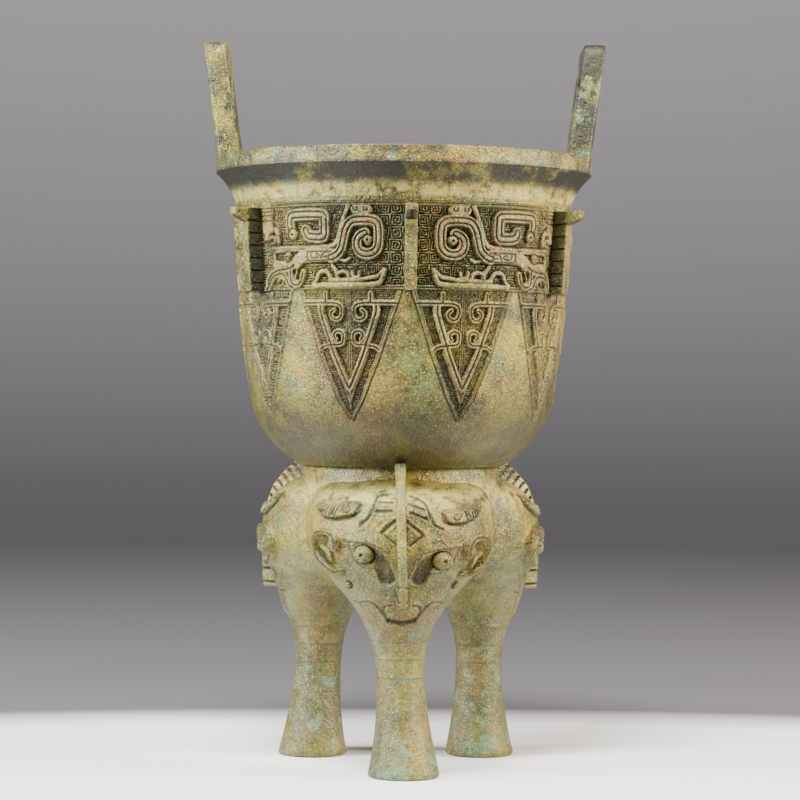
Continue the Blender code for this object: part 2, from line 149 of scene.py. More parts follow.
def move(bm: bmesh.types.BMesh, places: np.ndarray) -> None:
    """Sets the bmesh's vertex places."""
    for vert, place in zip(bm.verts, places.tolist()):
        vert.co = place


def grid(columns: int, rows: int) -> tuple[bmesh.types.BMesh, np.ndarray, np.ndarray]:
    """A flat grid of quads.

    Args:
        columns: How many quads lie across it.
        rows: How many quads lie down it.

    Returns:
        The grid, with each vertex's column from the left and row from the top.
    """
    bm = bmesh.new()
    bmesh.ops.create_grid(bm, x_segments=columns, y_segments=rows, size=0.5)
    flat = coordinates(bm)
    column = np.round((flat[:, 0] + 0.5) * columns).astype(int)
    row = np.round((0.5 - flat[:, 1]) * rows).astype(int)
    return bm, column, row


def wrapped(bm: bmesh.types.BMesh, places: np.ndarray) -> bmesh.types.BMesh:
    """Wraps a grid into a closed shape.

    Args:
        bm: The grid.
        places: Where each of its vertices goes.

    Returns:
        The same grid, with its seams merged and its faces outwards.
    """
    move(bm, places)
    bmesh.ops.remove_doubles(bm, verts=bm.verts, dist=SEAM)
    bmesh.ops.recalc_face_normals(bm, faces=bm.faces)
    return bm


def spun(section: Path, closed: bool, steps: int) -> bmesh.types.BMesh:
    """Turns a section about the vessel's axis.

    Args:
        section: The section's points, by radius and height.
        closed: Whether its last point meets its first.
        steps: How many steps the full turn has.

    Returns:
        The turned shape.
    """
    bm = bmesh.new()
    verts = [bm.verts.new((radius, 0.0, height)) for radius, height in section]
    edges = [bm.edges.new(pair) for pair in zip(verts, verts[1:] + (verts[:1] if closed else []))]
    bmesh.ops.spin(
        bm, geom=verts + edges, cent=(0, 0, 0), axis=(0, 0, 1), angle=math.tau, steps=steps, use_merge=True
    )
    bmesh.ops.remove_doubles(bm, verts=bm.verts, dist=SEAM)
    bmesh.ops.recalc_face_normals(bm, faces=bm.faces)
    return bm


@dataclass(frozen=True)
class BowlForm:
    """Round form of the bowl, by its radius from the axis and its height over the floor."""

    rim_z: float = 0.421
    lip_z: float = 0.410
    cove_foot_z: float = 0.389
    belly_z: float = 0.258
    waist_z: float = 0.2085
    ledge_z: float = 0.217
    stub_z: float = 0.1885
    rim_radius: float = 0.131
    rim_width: float = 0.0085
    neck_radius: float = 0.117
    belly_radius: float = 0.1065
    waist_radius: float = 0.0725
    throat_radius: float = 0.060
    stub_radius: float = 0.067
    stub_foot_radius: float = 0.0705
    swell: float = 0.0025
    cove_bend: tuple[float, float] = (0.28, 0.58)
    bottom_bend: tuple[float, float] = (0.89, 0.395)
    wall: float = 0.0048
    cove_points: int = 14

    def outline(self) -> np.ndarray:
        """Outer side of the bowl.

        Returns:
            Rows of radius and height, from the lip down to the waist.
        """
        lip = np.array([self.rim_radius, self.lip_z])
        neck = np.array([self.neck_radius, self.cove_foot_z])
        belly = np.array([self.belly_radius, self.belly_z])
        waist = np.array([self.waist_radius, self.waist_z])
        cove = bezier((lip, neck + (lip - neck) * self.cove_bend, neck), self.cove_points)
        wall = bezier((neck, (neck + belly) / 2 + (self.swell, 0.0), belly), 28)
        bottom = bezier((belly, waist + (belly - waist) * self.bottom_bend, waist), 26)
        return np.vstack([cove, wall[1:], bottom[1:]])

    def radius(self, height: np.ndarray) -> np.ndarray:
        """Outer radius at each height."""
        outline = self.outline()[::-1]
        return np.interp(height, outline[:, 1], outline[:, 0])


@dataclass(frozen=True)
class LobeForm:
    """Round form of one lobe with its column leg, by radius and centre at each height."""

    leg_height: float = 0.066
    knee_height: float = 0.098
    dome_height: float = 0.040
    radius_m: float = 0.065
    offset: float = 0.0375
    squareness: float = 3.2
    nose_squareness: float = 2.25
    nose_spread: tuple[float, float] = (math.radians(45), math.radians(90))
    upper_bend: float = 0.34
    lower_bend: float = 0.6
    neck_radius: float = 0.0162
    leg_offset: float = 0.066
    foot_offset: float = 0.069
    foot_radius: float = 0.0247
    foot_flare: float = 1.8
    splay: tuple[float, float] = (0.34, 0.94)
    turn: float = math.radians(-3)
    turn_height: float = 0.1
    wall: float = 0.0052
    cavity_floor_z: float = 0.090

    @property
    def widest_z(self) -> float:
        """Height of the lobe's widest section."""
        return self.leg_height + self.knee_height

    @property
    def top_z(self) -> float:
        """Height of the dome's pole."""
        return self.widest_z + self.dome_height

    def radius(self, height: np.ndarray, angle: np.ndarray | float = math.pi) -> np.ndarray:
        """Radius of the section at each height. The dome falls away softer towards the nose.

        Args:
            height: Height over the floor.
            angle: Radians round the lobe from its nose.

        Returns:
            The radius at each place.
        """
        height = np.asarray(height, float)
        rise = np.clip((height - self.widest_z) / self.dome_height, 0, 1)
        low, high = self.nose_spread
        side = eased((np.abs((angle + math.pi) % math.tau - math.pi) - low) / (high - low))
        squareness = self.nose_squareness + (self.squareness - self.nose_squareness) * side
        dome = self.radius_m * (1 - rise**squareness) ** (1 / squareness)
        low, high = self.leg_height, self.widest_z
        bends = low + self.lower_bend * self.knee_height, high - self.upper_bend * self.knee_height
        neck, wide = self.neck_radius, self.radius_m
        curve = bezier(((neck, low), (neck, bends[0]), (wide, bends[1]), (wide, high)), 80)
        knee = np.interp(height, curve[:, 1], curve[:, 0])
        drop = np.clip(1 - height / self.leg_height, 0, 1) ** self.foot_flare
        leg = self.neck_radius + (self.foot_radius - self.neck_radius) * drop
        return np.where(height >= self.widest_z, dome, np.where(height >= self.leg_height, knee, leg))

    def centre(self, height: np.ndarray) -> np.ndarray:
        """Distance of the section's centre from the vessel's axis.

        Args:
            height: Height over the floor.

        Returns:
            The distance at each height.
        """
        foot = self.leg_height + self.splay[0] * self.knee_height
        top = self.leg_height + self.splay[1] * self.knee_height
        out = eased((top - height) / (top - foot))
        lean = (self.foot_offset - self.leg_offset) * np.clip(1 - height / self.leg_height, 0, 1)
        return self.offset + (self.leg_offset - self.offset) * out + lean

    def swing(self, height: np.ndarray) -> np.ndarray:
        """Turn of the section about the vessel's axis, in radians."""
        return self.turn * eased(np.asarray(height) / self.turn_height)

    def place(self, angle: np.ndarray, height: np.ndarray, lift: np.ndarray, spot: Spot) -> np.ndarray:
        """Points on a lobe.

        Args:
            angle: Radians round the lobe from its nose.
            height: Height over the floor.
            lift: How far the point stands out of the plain form.
            spot: Which lobe.

        Returns:
            One row of x, y, z for each point.
        """
        radius = self.radius(height, angle) + lift
        out = self.centre(height) + radius * np.cos(angle)
        turn = math.radians(spot.value) + self.swing(height)
        return around(radius * np.sin(angle), out, height, turn)

    def unplace(self, points: np.ndarray, spot: Spot) -> tuple[np.ndarray, np.ndarray]:
        """Angle round the lobe and height over its plain form of points in space.

        Args:
            points: Rows of x, y, z.
            spot: Which lobe.

        Returns:
            The angles in radians, and how far each point stands out of the plain form.
        """
        x, y, height = points.T
        turn = math.radians(spot.value) + self.swing(height)
        across = x * np.cos(turn) + y * np.sin(turn)
        out = x * np.sin(turn) - y * np.cos(turn) - self.centre(height)
        angle = np.arctan2(across, out)
        return angle, np.hypot(across, out) - self.radius(height, angle)


BOWL = BowlForm()
LOBE = LobeForm()


class Relief:
    """Height of cast ornament over the plain wall, sampled at points of its flat pattern. All its
    lengths are millimetres."""

    CHANNEL: float = 0.74
    CUT_DEPTH: float = 0.95
    GROUND_DEPTH: float = 1.2
    # Height that stands for no band, and distance that stands for out of reach
    UNDER: float = -9.0
    FAR: float = 99.0

    def __init__(self, u: np.ndarray, v: np.ndarray) -> None:
        """Starts with a plain surface.

        Args:
            u: Millimetres across the pattern, one value for each sample.
            v: Millimetres up the pattern.
        """
        self.u = np.asarray(u, float)
        self.v = np.asarray(v, float)
        self.height = np.zeros_like(self.u)
        self.raised = np.full_like(self.u, self.UNDER)
        self.gap = np.full_like(self.u, self.FAR)
        self.cut = np.zeros_like(self.u)
        # Wear with painted highlight on high parts, and grime with painted shade in low ones, for each sample
        self.wear_and_highlight = np.zeros_like(self.u)
        self.dark = np.zeros_like(self.u)

    def distance(self, path: Path, passes: int = 2, reach: float = 12.0) -> np.ndarray:
        """Distance from each sample to a path, and FAR where it is out of reach.

        Args:
            path: Corner points of the path.
            passes: How many times its corners are rounded.
            reach: How far away samples are still measured.

        Returns:
            The distances in millimetres.
        """
        points = rounded(path, passes)
        found = np.full_like(self.u, self.FAR)
        for (u0, v0), (u1, v1) in zip(points, points[1:]):
            beside = np.abs(self.u - (u0 + u1) / 2) < abs(u1 - u0) / 2 + reach
            near = np.flatnonzero(beside & (np.abs(self.v - (v0 + v1) / 2) < abs(v1 - v0) / 2 + reach))
            run = np.array([u1 - u0, v1 - v0])
            length = max(float(run @ run), 1e-9)
            du, dv = self.u[near] - u0, self.v[near] - v0
            along = np.clip((du * run[0] + dv * run[1]) / length, 0, 1)
            away = np.hypot(du - along * run[0], dv - along * run[1])
            found[near] = np.minimum(found[near], away)
        return found

    def ribbon(self, path: Path, width: float, lift: float, ridges: int = 1, edge: float = 0.9) -> None:
        """Adds a raised band with ridges along it.

        Args:
            path: The band's middle line.
            width: Its width.
            lift: How far it stands over the plain wall.
            ridges: How many ridges run along it, with a groove between each two.
            edge: Width of its sloping side.
        """
        away = self.distance(path, reach=width / 2 + 3)
        half = width / 2
        crown = lift * (1 - 0.10 * np.clip(away / half, 0, 1) ** 2)
        side = eased((half - away) / edge + 0.5)
        self.raised = np.where(side > 0.02, np.maximum(self.raised, crown * side - 1.0 * (1 - side)), self.raised)
        self.gap = np.minimum(self.gap, away - half)
        if ridges > 1:
            self._channel(away, 0.0 if ridges == 2 else 0.45 * half, away < half - 0.3)
        inside = away < half
        # The band's top takes wear and a painted highlight.
        self.wear_and_highlight = np.where(inside, np.maximum(self.wear_and_highlight, side), self.wear_and_highlight)

    def _channel(self, away: np.ndarray, offset: float, where: np.ndarray) -> None:
        """Cuts a groove at one distance from a path."""
        groove = eased(1.25 - np.abs(away - offset) / self.CHANNEL) * where
        self.cut = np.maximum(self.cut, groove)

    def hollow(self, path: Path, width: float, depth: float, dark: float) -> None:
        """Sinks a soft-edged hollow along a path.

        Args:
            path: The hollow's middle line.
            width: Its width.
            depth: How deep it is.
            dark: How dark it is painted, as grime and painted shade, from 0 to 1.
        """
        away = self.distance(path, reach=width / 2 + 3)
        share = eased((width / 2 - away) / 2.4 + 0.5)
        self.height -= depth * share
        # The hollow is painted dark, as grime and painted shade.
        self.dark = np.maximum(self.dark, dark * share)

    def groove(self, path: Path, width: float = 1.0, depth: float = 0.8, passes: int = 2, lip: float = 0.0) -> None:
        """Cuts a thin line along a path.

        Args:
            path: The line's points.
            width: Width of the cut.
            depth: Its depth, as a share of a full groove.
            passes: How many times the corners are rounded.
            lip: Height of the raised edges beside it.
        """
        away = self.distance(path, passes, reach=width + 3)
        self.cut = np.maximum(self.cut, depth * eased(1 - away / width))
        if lip:
            self.height += lip * eased(1 - np.abs(away - width - 0.8) / 1.3)

    def knob(self, centre: tuple[float, float], radius: float, lift: float, pit: float = 0.0) -> None:
        """Adds a round boss in a dark ring.

        Args:
            centre: Its place.
            radius: Its radius.
            lift: How far its top stands over the plain wall.
            pit: Radius of the hole in its top, 0 for none.
        """
        away = np.hypot(self.u - centre[0], self.v - centre[1])
        dome = lift * np.sqrt(np.clip(1 - (away / radius) ** 2, 0, 1))
        inside = away < radius
        self.raised = np.where(inside, np.maximum(self.raised * (away > radius), dome), self.raised)
        self.gap = np.minimum(self.gap, away - radius)
        ring = eased(1 - np.abs(away - radius - 0.3) / 0.7)
        self.cut = np.where(inside, 0.0, np.maximum(self.cut, ring))
        # The boss takes wear and a painted highlight.
        self.wear_and_highlight = np.where(inside, 1.0, self.wear_and_highlight)
        if pit:
            self.cut = np.maximum(self.cut, 1.6 * eased(1.4 - away / pit))

    def thunder_ground(
        self, across: np.ndarray, up: np.ndarray, cell: float, turns: float, level: float, where: np.ndarray
    ) -> None:
        """Fills the ground between the bands with squared spirals.

        Args:
            across: Place of each sample across the rows of spirals.
            up: Place up the columns of spirals.
            cell: Side of one spiral's square.
            turns: How many lines lie between its middle and its edge.
            level: Height of the spirals' lines over the plain wall.
            where: How surely each sample is ground, from 0 to 1.
        """
        column, row = np.floor(across / cell), np.floor(up / cell)
        across, up = across - (column + 0.5) * cell, up - (row + 0.5) * cell
        across = np.where((column + row) % 2 > 0, -across, across)
        ring = np.maximum(np.abs(across), np.abs(up)) / (cell / 2)
        turned = np.arctan2(up, across) / math.tau
        wave = np.cos(math.tau * (ring * turns - turned))
        line = np.clip(0.42 + 1.2 * wave, 0, 1) * where
        depth = (self.GROUND_DEPTH + level) * line - self.GROUND_DEPTH
        ground = (where >= 0) & (self.raised < depth)
        self.height = np.where(ground, depth, self.height)
        # Painted shade: the sunk ground between the spiral lines is painted dark.
        self.dark = np.where(ground, 1 - 0.8 * line, self.dark)

    def settle(self) -> "Relief":
        """Joins the bands, grooves and ground into one height.

        Returns:
            This relief.
        """
        over = self.raised > self.height
        self.height = np.where(over, self.raised, self.height)
        # Painted shade: bands are painted darker the lower they stand, and the grooves are painted dark.
        self.dark = np.where(over, np.clip(0.75 - 0.7 * self.raised, 0, 1), self.dark)
        self.height -= self.CUT_DEPTH * self.cut
        self.dark = np.maximum(self.dark, np.clip(self.cut, 0, 1))
        self.wear_and_highlight = self.wear_and_highlight * (1 - np.clip(self.cut, 0, 1)) * over
        return self


@dataclass(frozen=True)
class Foundry:
    """Turns shapes into finished bronze pieces tied to the CAD body."""

    bronze: bpy.types.Material

    def cast(
        self, name: str, bm: bmesh.types.BMesh, recess: np.ndarray | float = 0.0, wear_and_highlight: np.ndarray | float = 0.0
    ) -> bpy.types.Object:
        """Makes a piece of a shape.

        Args:
            name: The piece's name.
            bm: Its shape, which is freed.
            recess: Grime and painted shade in its hollows, from 0 to 1 for each vertex.
            wear_and_highlight: Wear and painted highlight on its high parts, from 0 to 1 for each vertex.

        Returns:
            The linked piece.
        """
        piece = linked(name, bm)
        mesh = piece.data
        for layer, values in (("recess", recess), ("wear_and_highlight", wear_and_highlight)):
            flat = np.zeros(len(mesh.vertices), np.float32)
            flat[:] = np.clip(values, 0, 1)
            mesh.attributes.new(layer, "FLOAT", "POINT").data.foreach_set("value", flat)
        mesh.materials.append(self.bronze)
        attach(piece, BODY)
        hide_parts(NODE)
        log.info("%s: %d triangles", name, sum(len(face.vertices) - 2 for face in mesh.polygons))
        return piece


def smoothed(piece: bpy.types.Object, angle: float) -> bpy.types.Object:
    """Shades a piece smooth, with edges sharper than an angle in degrees kept.

    Args:
        piece: The piece.
        angle: The angle from which an edge stays sharp.

    Returns:
        The same piece.
    """
    piece.data.shade_smooth()
    piece.data.set_sharp_from_angle(angle=math.radians(angle))
    return piece


@dataclass(frozen=True)
class WallPatch:
    """A stretch of the bowl's outer wall with fine relief, closed behind by a skirt and a back."""

    foot_z: float
    head_z: float
    span: float
    azimuth: float
    skirt: float
    mean_radius: float = 0.1145

    def build(self, foundry: Foundry, name: str, pitch: float, sample: Sampler) -> bpy.types.Object:
        """Builds the patch.

        Args:
            foundry: Makes the finished piece.
            name: The piece's name.
            pitch: Distance between its samples.
            sample: Gives the relief at an angle from the patch's middle and a height.

        Returns:
            The finished piece.
        """
        span = math.radians(self.span)
        across = round(span * self.mean_radius / pitch)
        up = round((self.head_z - self.foot_z) / pitch)
        bm = bmesh.new()
        bmesh.ops.create_grid(bm, x_segments=across, y_segments=up, size=0.5)
        border = [edge for edge in bm.edges if edge.is_boundary]
        for edge in border:
            edge.smooth = False
        made = bmesh.ops.extrude_edge_only(bm, edges=border)["geom"]
        for vert in made:
            if isinstance(vert, bmesh.types.BMVert):
                vert.co.z = -1.0
        open_edges = [edge for edge in bm.edges if edge.is_boundary]
        ends = [edge for edge in open_edges if abs(abs(edge.verts[0].co.y + edge.verts[1].co.y) - 1.0) < 1e-5]
        bmesh.ops.bridge_loops(bm, edges=ends)
        bmesh.ops.holes_fill(bm, edges=[edge for edge in bm.edges if edge.is_boundary], sides=0)
        flat = coordinates(bm)
        angle = flat[:, 0] * span
        height = self.foot_z + (flat[:, 1] + 0.5) * (self.head_z - self.foot_z)
        relief = sample(angle, height)
        behind = flat[:, 2] < -0.5
        radius = BOWL.radius(height) + np.where(behind, -self.skirt, relief.height * MM)
        move(bm, around(0 * radius, radius, height, angle + math.radians(self.azimuth)))
        bmesh.ops.recalc_face_normals(bm, faces=bm.faces)
        for face in bm.faces:
            face.smooth = True
        return foundry.cast(name, bm, relief.dark, relief.wear_and_highlight)


# Turn of the band and its flanges against the lobes, in degrees
BAND_TURN = -0.6
# One dragon of the band in millimetres: u from the divider flange towards its face flange, and
# v up from the band's foot. Each band has a width, a lift, a number of ridges and its path.
DRAGON_BANDS: tuple[tuple[float, float, int, Path], ...] = (
    (8.4, 2.2, 3, (
        (88.5, 37.7), (89.7, 42.5), (89.7, 46.4), (88.9, 49.1), (86.1, 49.9), (64.0, 49.9),
        (61.2, 48.7), (60.9, 46.4), (60.9, 37.0), (61.6, 35.0), (64.0, 34.6), (71.9, 35.0),
        (74.7, 36.2), (75.8, 39.3),
    )),
    (7.6, 2.2, 3, (
        (56.1, 21.3), (51.4, 22.9), (47.8, 26.8), (46.3, 33.0), (44.7, 39.3), (41.9, 44.0),
        (38.0, 46.0), (26.1, 46.0), (21.8, 44.4), (20.2, 40.9), (20.2, 30.7), (21.4, 26.4),
        (25.3, 23.6), (30.9, 23.3), (34.8, 25.2), (36.4, 29.1), (36.0, 33.0), (33.6, 35.8),
        (30.1, 37.0),
    )),
    (3.4, 1.9, 1, (
        (71.9, 27.6), (55.3, 28.3), (51.4, 31.5), (49.0, 37.7), (47.4, 44.0), (44.7, 50.3),
        (42.7, 55.0),
    )),
    (2.4, 1.5, 1, ((106.5, 28.2), (71.9, 28.0))),
    (8.8, 2.0, 1, ((85.3, 18.2), (79.8, 22.1), (73.5, 22.9), (56.1, 22.9), (52.9, 22.5))),
    (5.4, 1.9, 1, ((104.0, 17.0), (95.0, 16.8), (86.9, 16.9), (85.3, 18.0))),
    (4.6, 1.9, 2, ((110.6, 4.0), (109.8, 8.6), (105.1, 13.0), (97.2, 13.6), (90.8, 14.6), (86.9, 16.8))),
    (4.4, 1.9, 2, (
        (90.8, 15.0), (90.8, 7.2), (89.3, 3.7), (84.5, 2.9), (80.6, 6.4), (79.4, 11.9),
    )),
    (1.7, 1.3, 1, ((86.9, 16.9), (84.5, 13.5), (87.3, 8.2), (86.7, 5.6), (83.0, 5.6), (81.4, 9.5))),
    (4.2, 1.8, 2, (
        (112.2, 0.6), (110.6, 1.8), (108.6, 7.2), (105.9, 10.3), (97.2, 11.1), (94.8, 7.2),
        (93.2, 2.7), (89.3, 1.8),
    )),
    (1.7, 1.2, 1, ((103.5, 5.6), (101.1, 8.8), (97.9, 7.2), (98.7, 4.0), (102.7, 2.5))),
    (3.6, 1.8, 1, ((110.6, 34.6), (109.4, 39.3), (105.9, 40.9), (101.5, 39.7), (101.1, 32.3))),
    (1.8, 1.2, 1, ((109.4, 33.4), (107.4, 36.2), (104.3, 35.0), (105.1, 31.5), (107.8, 31.1))),
    (7.4, 1.1, 1, ((110.3, 40.5), (110.3, 57.5))),
    (2.0, 1.2, 1, ((105.4, 15.4), (105.8, 24.4), (104.3, 26.2), (79.8, 26.4))),
    (3.4, 1.7, 1, (
        (70.7, 4.1), (70.0, 1.9), (67.0, 3.2), (44.0, 3.2), (20.6, 3.4), (17.4, 7.2), (16.3, 12.7),
    )),
    (2.6, 1.4, 1, ((57.7, 6.4), (30.9, 6.8), (27.0, 8.0), (21.0, 8.4), (17.8, 12.0))),
    (2.8, 1.6, 1, ((69.6, 4.4), (67.2, 8.0), (66.4, 11.1), (63.2, 12.7), (59.3, 11.9), (56.9, 7.2))),
    (3.0, 1.7, 1, ((55.3, 15.8), (51.8, 11.5), (51.4, 6.8))),
    (2.2, 1.3, 1, ((50.6, 11.1), (47.4, 12.3), (43.5, 11.1), (42.7, 6.8))),
    (2.2, 1.3, 1, ((40.3, 11.9), (39.6, 8.0), (34.8, 8.0), (34.8, 11.5))),
    (2.2, 1.3, 1, ((49.0, 20.2), (45.1, 18.6), (41.9, 20.6))),
    (6.2, 1.8, 1, ((37.8, 52.5), (28.4, 52.5))),
)
# Thin cut lines on the dragon's body and plate
DRAGON_CUTS: tuple[Path, ...] = (
    ((75.4, 25.2), (55.3, 25.2)),
    ((75.4, 19.4), (53.0, 19.4)),
    ((74.2, 25.0), (75.2, 22.3), (74.2, 19.6)),
    ((71.9, 24.4), (71.9, 20.9), (66.4, 20.9), (64.8, 22.9), (67.6, 23.7)),
    ((63.6, 20.9), (62.5, 24.1), (59.3, 24.7), (57.3, 23.3), (58.1, 21.3), (61.3, 21.7)),
    ((38.4, 54.4), (38.4, 51.9), (35.6, 51.9), (36.0, 53.8)),
    ((31.0, 54.4), (31.0, 51.9), (28.2, 51.9), (28.6, 53.8)),
    ((104.8, 38.0), (104.8, 55.0), (102.0, 57.3), (56.0, 57.3)),
    ((102.4, 46.0), (102.4, 53.0), (98.0, 53.0), (98.0, 47.5), (100.4, 47.5), (100.4, 51.0)),
)

# Half of a hanging blade in millimetres: s from its middle line, d down from its head
BLADE_BANDS: tuple[tuple[float, float, int, Path], ...] = (
    (3.6, 1.7, 2, ((33.0, 8.7), (17.0, 8.7), (8.0, 8.7), (4.6, 10.6), (4.1, 14.1), (4.8, 18.3),
                   (7.8, 20.1), (11.5, 18.6), (12.3, 15.0), (9.7, 13.2))),
    (3.4, 1.7, 2, ((15.7, 2.2), (15.7, 8.4))),
    (5.0, 2.0, 2, ((19.4, 10.4), (19.6, 15.0), (16.3, 25.0), (12.4, 36.3), (10.0, 44.0), (1.2, 63.2),
                   (0.0, 65.0))),
    (3.6, 1.8, 2, ((12.2, 36.3), (4.6, 36.1), (3.4, 33.0), (3.4, 29.0), (5.4, 27.2), (9.6, 27.5),
                   (10.6, 30.8), (9.0, 32.6))),
    (3.4, 1.7, 2, ((12.2, 36.6), (18.3, 37.1), (21.0, 39.4))),
    (1.5, 0.9, 1, ((14.0, 40.6), (2.8, 66.0), (0.8, 73.0))),
    (1.3, 0.8, 1, ((0.0, 66.5), (0.0, 78.0))),
)


@dataclass(frozen=True)
class DragonFrieze:
    """The band of paired dragons between flanges, three stretches of two dragons each."""

    foot_z: float = 0.3265
    height: float = 0.059
    true_radius: float = 0.1132
    skirt: float = 0.0025
    spiral_cell: float = 8.2
    first_column: float = 4.8
    fine_pitch: float = 0.00046
    plain_pitch: float = 0.00062
    bands: tuple = DRAGON_BANDS
    cuts: tuple = DRAGON_CUTS
    eye: tuple[float, float] = (92.8, 22.3)
    spread: Path = (
        (-118.5, -118.5), (-98.8, -104.8), (-87.4, -93.9), (-53.0, -56.7), (-16.9, -16.4), (-5.0, -5.0),
        (5.0, 5.0), (15.5, 16.4), (55.1, 56.7), (93.7, 93.9), (118.5, 118.5),
    )
    side_cuts: tuple[float, ...] = (55.0, 52.6, 50.2, 46.6)

    def relief(self, u: np.ndarray, v: np.ndarray) -> Relief:
        """Relief of one dragon and its mirror image.

        Args:
            u: Millimetres from the flange between them.
            v: Millimetres up from the band's foot.

        Returns:
            The settled relief.
        """
        spread = np.array(self.spread)
        made = Relief(np.abs(np.interp(u, spread[:, 0], spread[:, 1])), v)
        for width, lift, ridges, path in self.bands:
            made.ribbon(path, width, lift, ridges)
        for level in self.side_cuts:
            made.groove(((107.0, level), (113.6, level)), 0.8, 0.9)
        for path in self.cuts:
            made.groove(path, 0.85, 0.9)
        made.knob((87.6, 36.8), 3.8, 2.4, 0.9)
        made.knob((28.4, 32.6), 3.4, 2.4, 0.9)
        made.knob(self.eye, 3.3, 3.2, 0.8)
        tall = self.height / MM
        for line in (0.9, 2.6, tall - 2.6, tall - 0.9):
            made.ribbon(((-5.0, line), (130.0, line)), 0.9, 0.15, 1, 0.7)
        bare = eased((made.gap - 0.8) / 0.4)
        made.thunder_ground(made.u - self.first_column, v - 0.6, self.spiral_cell, 2.5, 0.0, bare)
        return made.settle()

    def build(self, foundry: Foundry, spot: Spot) -> bpy.types.Object:
        """Builds the stretch of the band round one divider flange.

        Args:
            foundry: Makes the finished piece.
            spot: The flange's station.

        Returns:
            The finished piece.
        """
        pitch = self.fine_pitch if spot is Spot.FRONT else self.plain_pitch
        patch = WallPatch(self.foot_z, self.foot_z + self.height, 120.0, spot.value + BAND_TURN, self.skirt)
        scale = self.true_radius / MM

        def sample(angle: np.ndarray, height: np.ndarray) -> Relief:
            """Relief at an angle from the divider flange and a height."""
            return self.relief(angle * scale, (height - self.foot_z) / MM)

        return patch.build(foundry, f"dragon_frieze_{spot.name.lower()}", pitch, sample)


@dataclass(frozen=True)
class HangingBlades:
    """The row of pointed blades under the band, three stretches of three blades each."""

    head_z: float = 0.3265
    foot_z: float = 0.2385
    blades: int = 9
    turn: float = math.radians(-1.6)
    true_radius: float = 0.1132
    skirt: float = 0.0025
    length: float = 86.5
    edge: Path = ((36.4, 0.0), (21.0, 45.5), (10.0, 72.0), (0.6, 86.5))
    spiral_cell: float = 4.7
    strip_cell: float = 6.0
    fine_pitch: float = 0.00055
    plain_pitch: float = 0.00075
    bands: tuple = BLADE_BANDS

    def relief(self, s: np.ndarray, d: np.ndarray) -> Relief:
        """Relief of one blade.

        Args:
            s: Millimetres from its middle line.
            d: Millimetres down from its head.

        Returns:
            The settled relief.
        """
        made = Relief(np.abs(s), d)
        line = np.array(self.edge)
        reach = np.interp(d, line[:, 1], line[:, 0], right=-2.0)
        slope = math.cos(math.atan2(line[0, 0], self.length))
        within = (reach - made.u) * slope
        for width, lift, ridges, path in self.bands:
            made.ribbon(path, width, lift, ridges)
        made.raised = np.where(within > 0.4, made.raised, made.UNDER)
        made.gap = np.minimum(made.gap, within - 2.6)
        for offset, lift in ((0.65, 0.75), (2.1, 0.35)):
            rim = eased(1.35 - np.abs(within - offset) / 0.62)
            made.raised = np.maximum(made.raised, np.where(rim > 0.02, (lift + 1.0) * rim - 1.0, made.UNDER))
            # The rims take wear and a painted highlight.
            made.wear_and_highlight = np.maximum(made.wear_and_highlight, 0.6 * rim)
        outline = 0.8 * eased(1 - np.abs(within + 0.45) / 0.6)
        made.cut = np.maximum(made.cut, outline)
        middle = (made.u < 2.4) & (made.gap > 0.8) & (d < 62) & (d > 1.5)
        stripes = np.cos(math.tau * made.u / 1.5)
        bare = eased((made.gap - 0.5) / 0.4)
        ground = (within > 0.2) & ~middle
        made.thunder_ground(made.u, d, self.spiral_cell, 2.0, 0.0, np.where(ground, bare, -1.0))
        ribbon = np.array(self.bands[2][3])
        strip = ground & (made.u > np.interp(d, ribbon[:, 1], ribbon[:, 0]) + 1.5) & (d > 11)
        made.thunder_ground(within - 2.2, d, self.strip_cell, 2.5, 0.3, np.where(strip, bare, -1.0))
        made.height = np.where(middle, -0.5 + 0.45 * stripes, made.height)
        # The stripes' grooves are painted darker, as painted shade.
        made.dark = np.where(middle, 0.6 - 0.35 * stripes, made.dark)
        return made.settle()

    def build(self, foundry: Foundry, spot: Spot) -> bpy.types.Object:
        """Builds the stretch of three blades nearest one station.

        Args:
            foundry: Makes the finished piece.
            spot: The station.

        Returns:
            The finished piece.
        """
        pitch = self.fine_pitch if spot is Spot.FRONT else self.plain_pitch
        middle = spot.value + math.degrees(self.turn) + 20.0
        patch = WallPatch(self.foot_z, self.head_z, 120.0, middle, self.skirt)
        step = math.tau / self.blades
        scale = self.true_radius / MM

        def sample(angle: np.ndarray, height: np.ndarray) -> Relief:
            """Relief at an angle from the middle blade and a height."""
            nearest = angle - step * np.round(angle / step)
            return self.relief(nearest * scale, (self.head_z - height) / MM)

        return patch.build(foundry, f"hanging_blades_{spot.name.lower()}", pitch, sample)


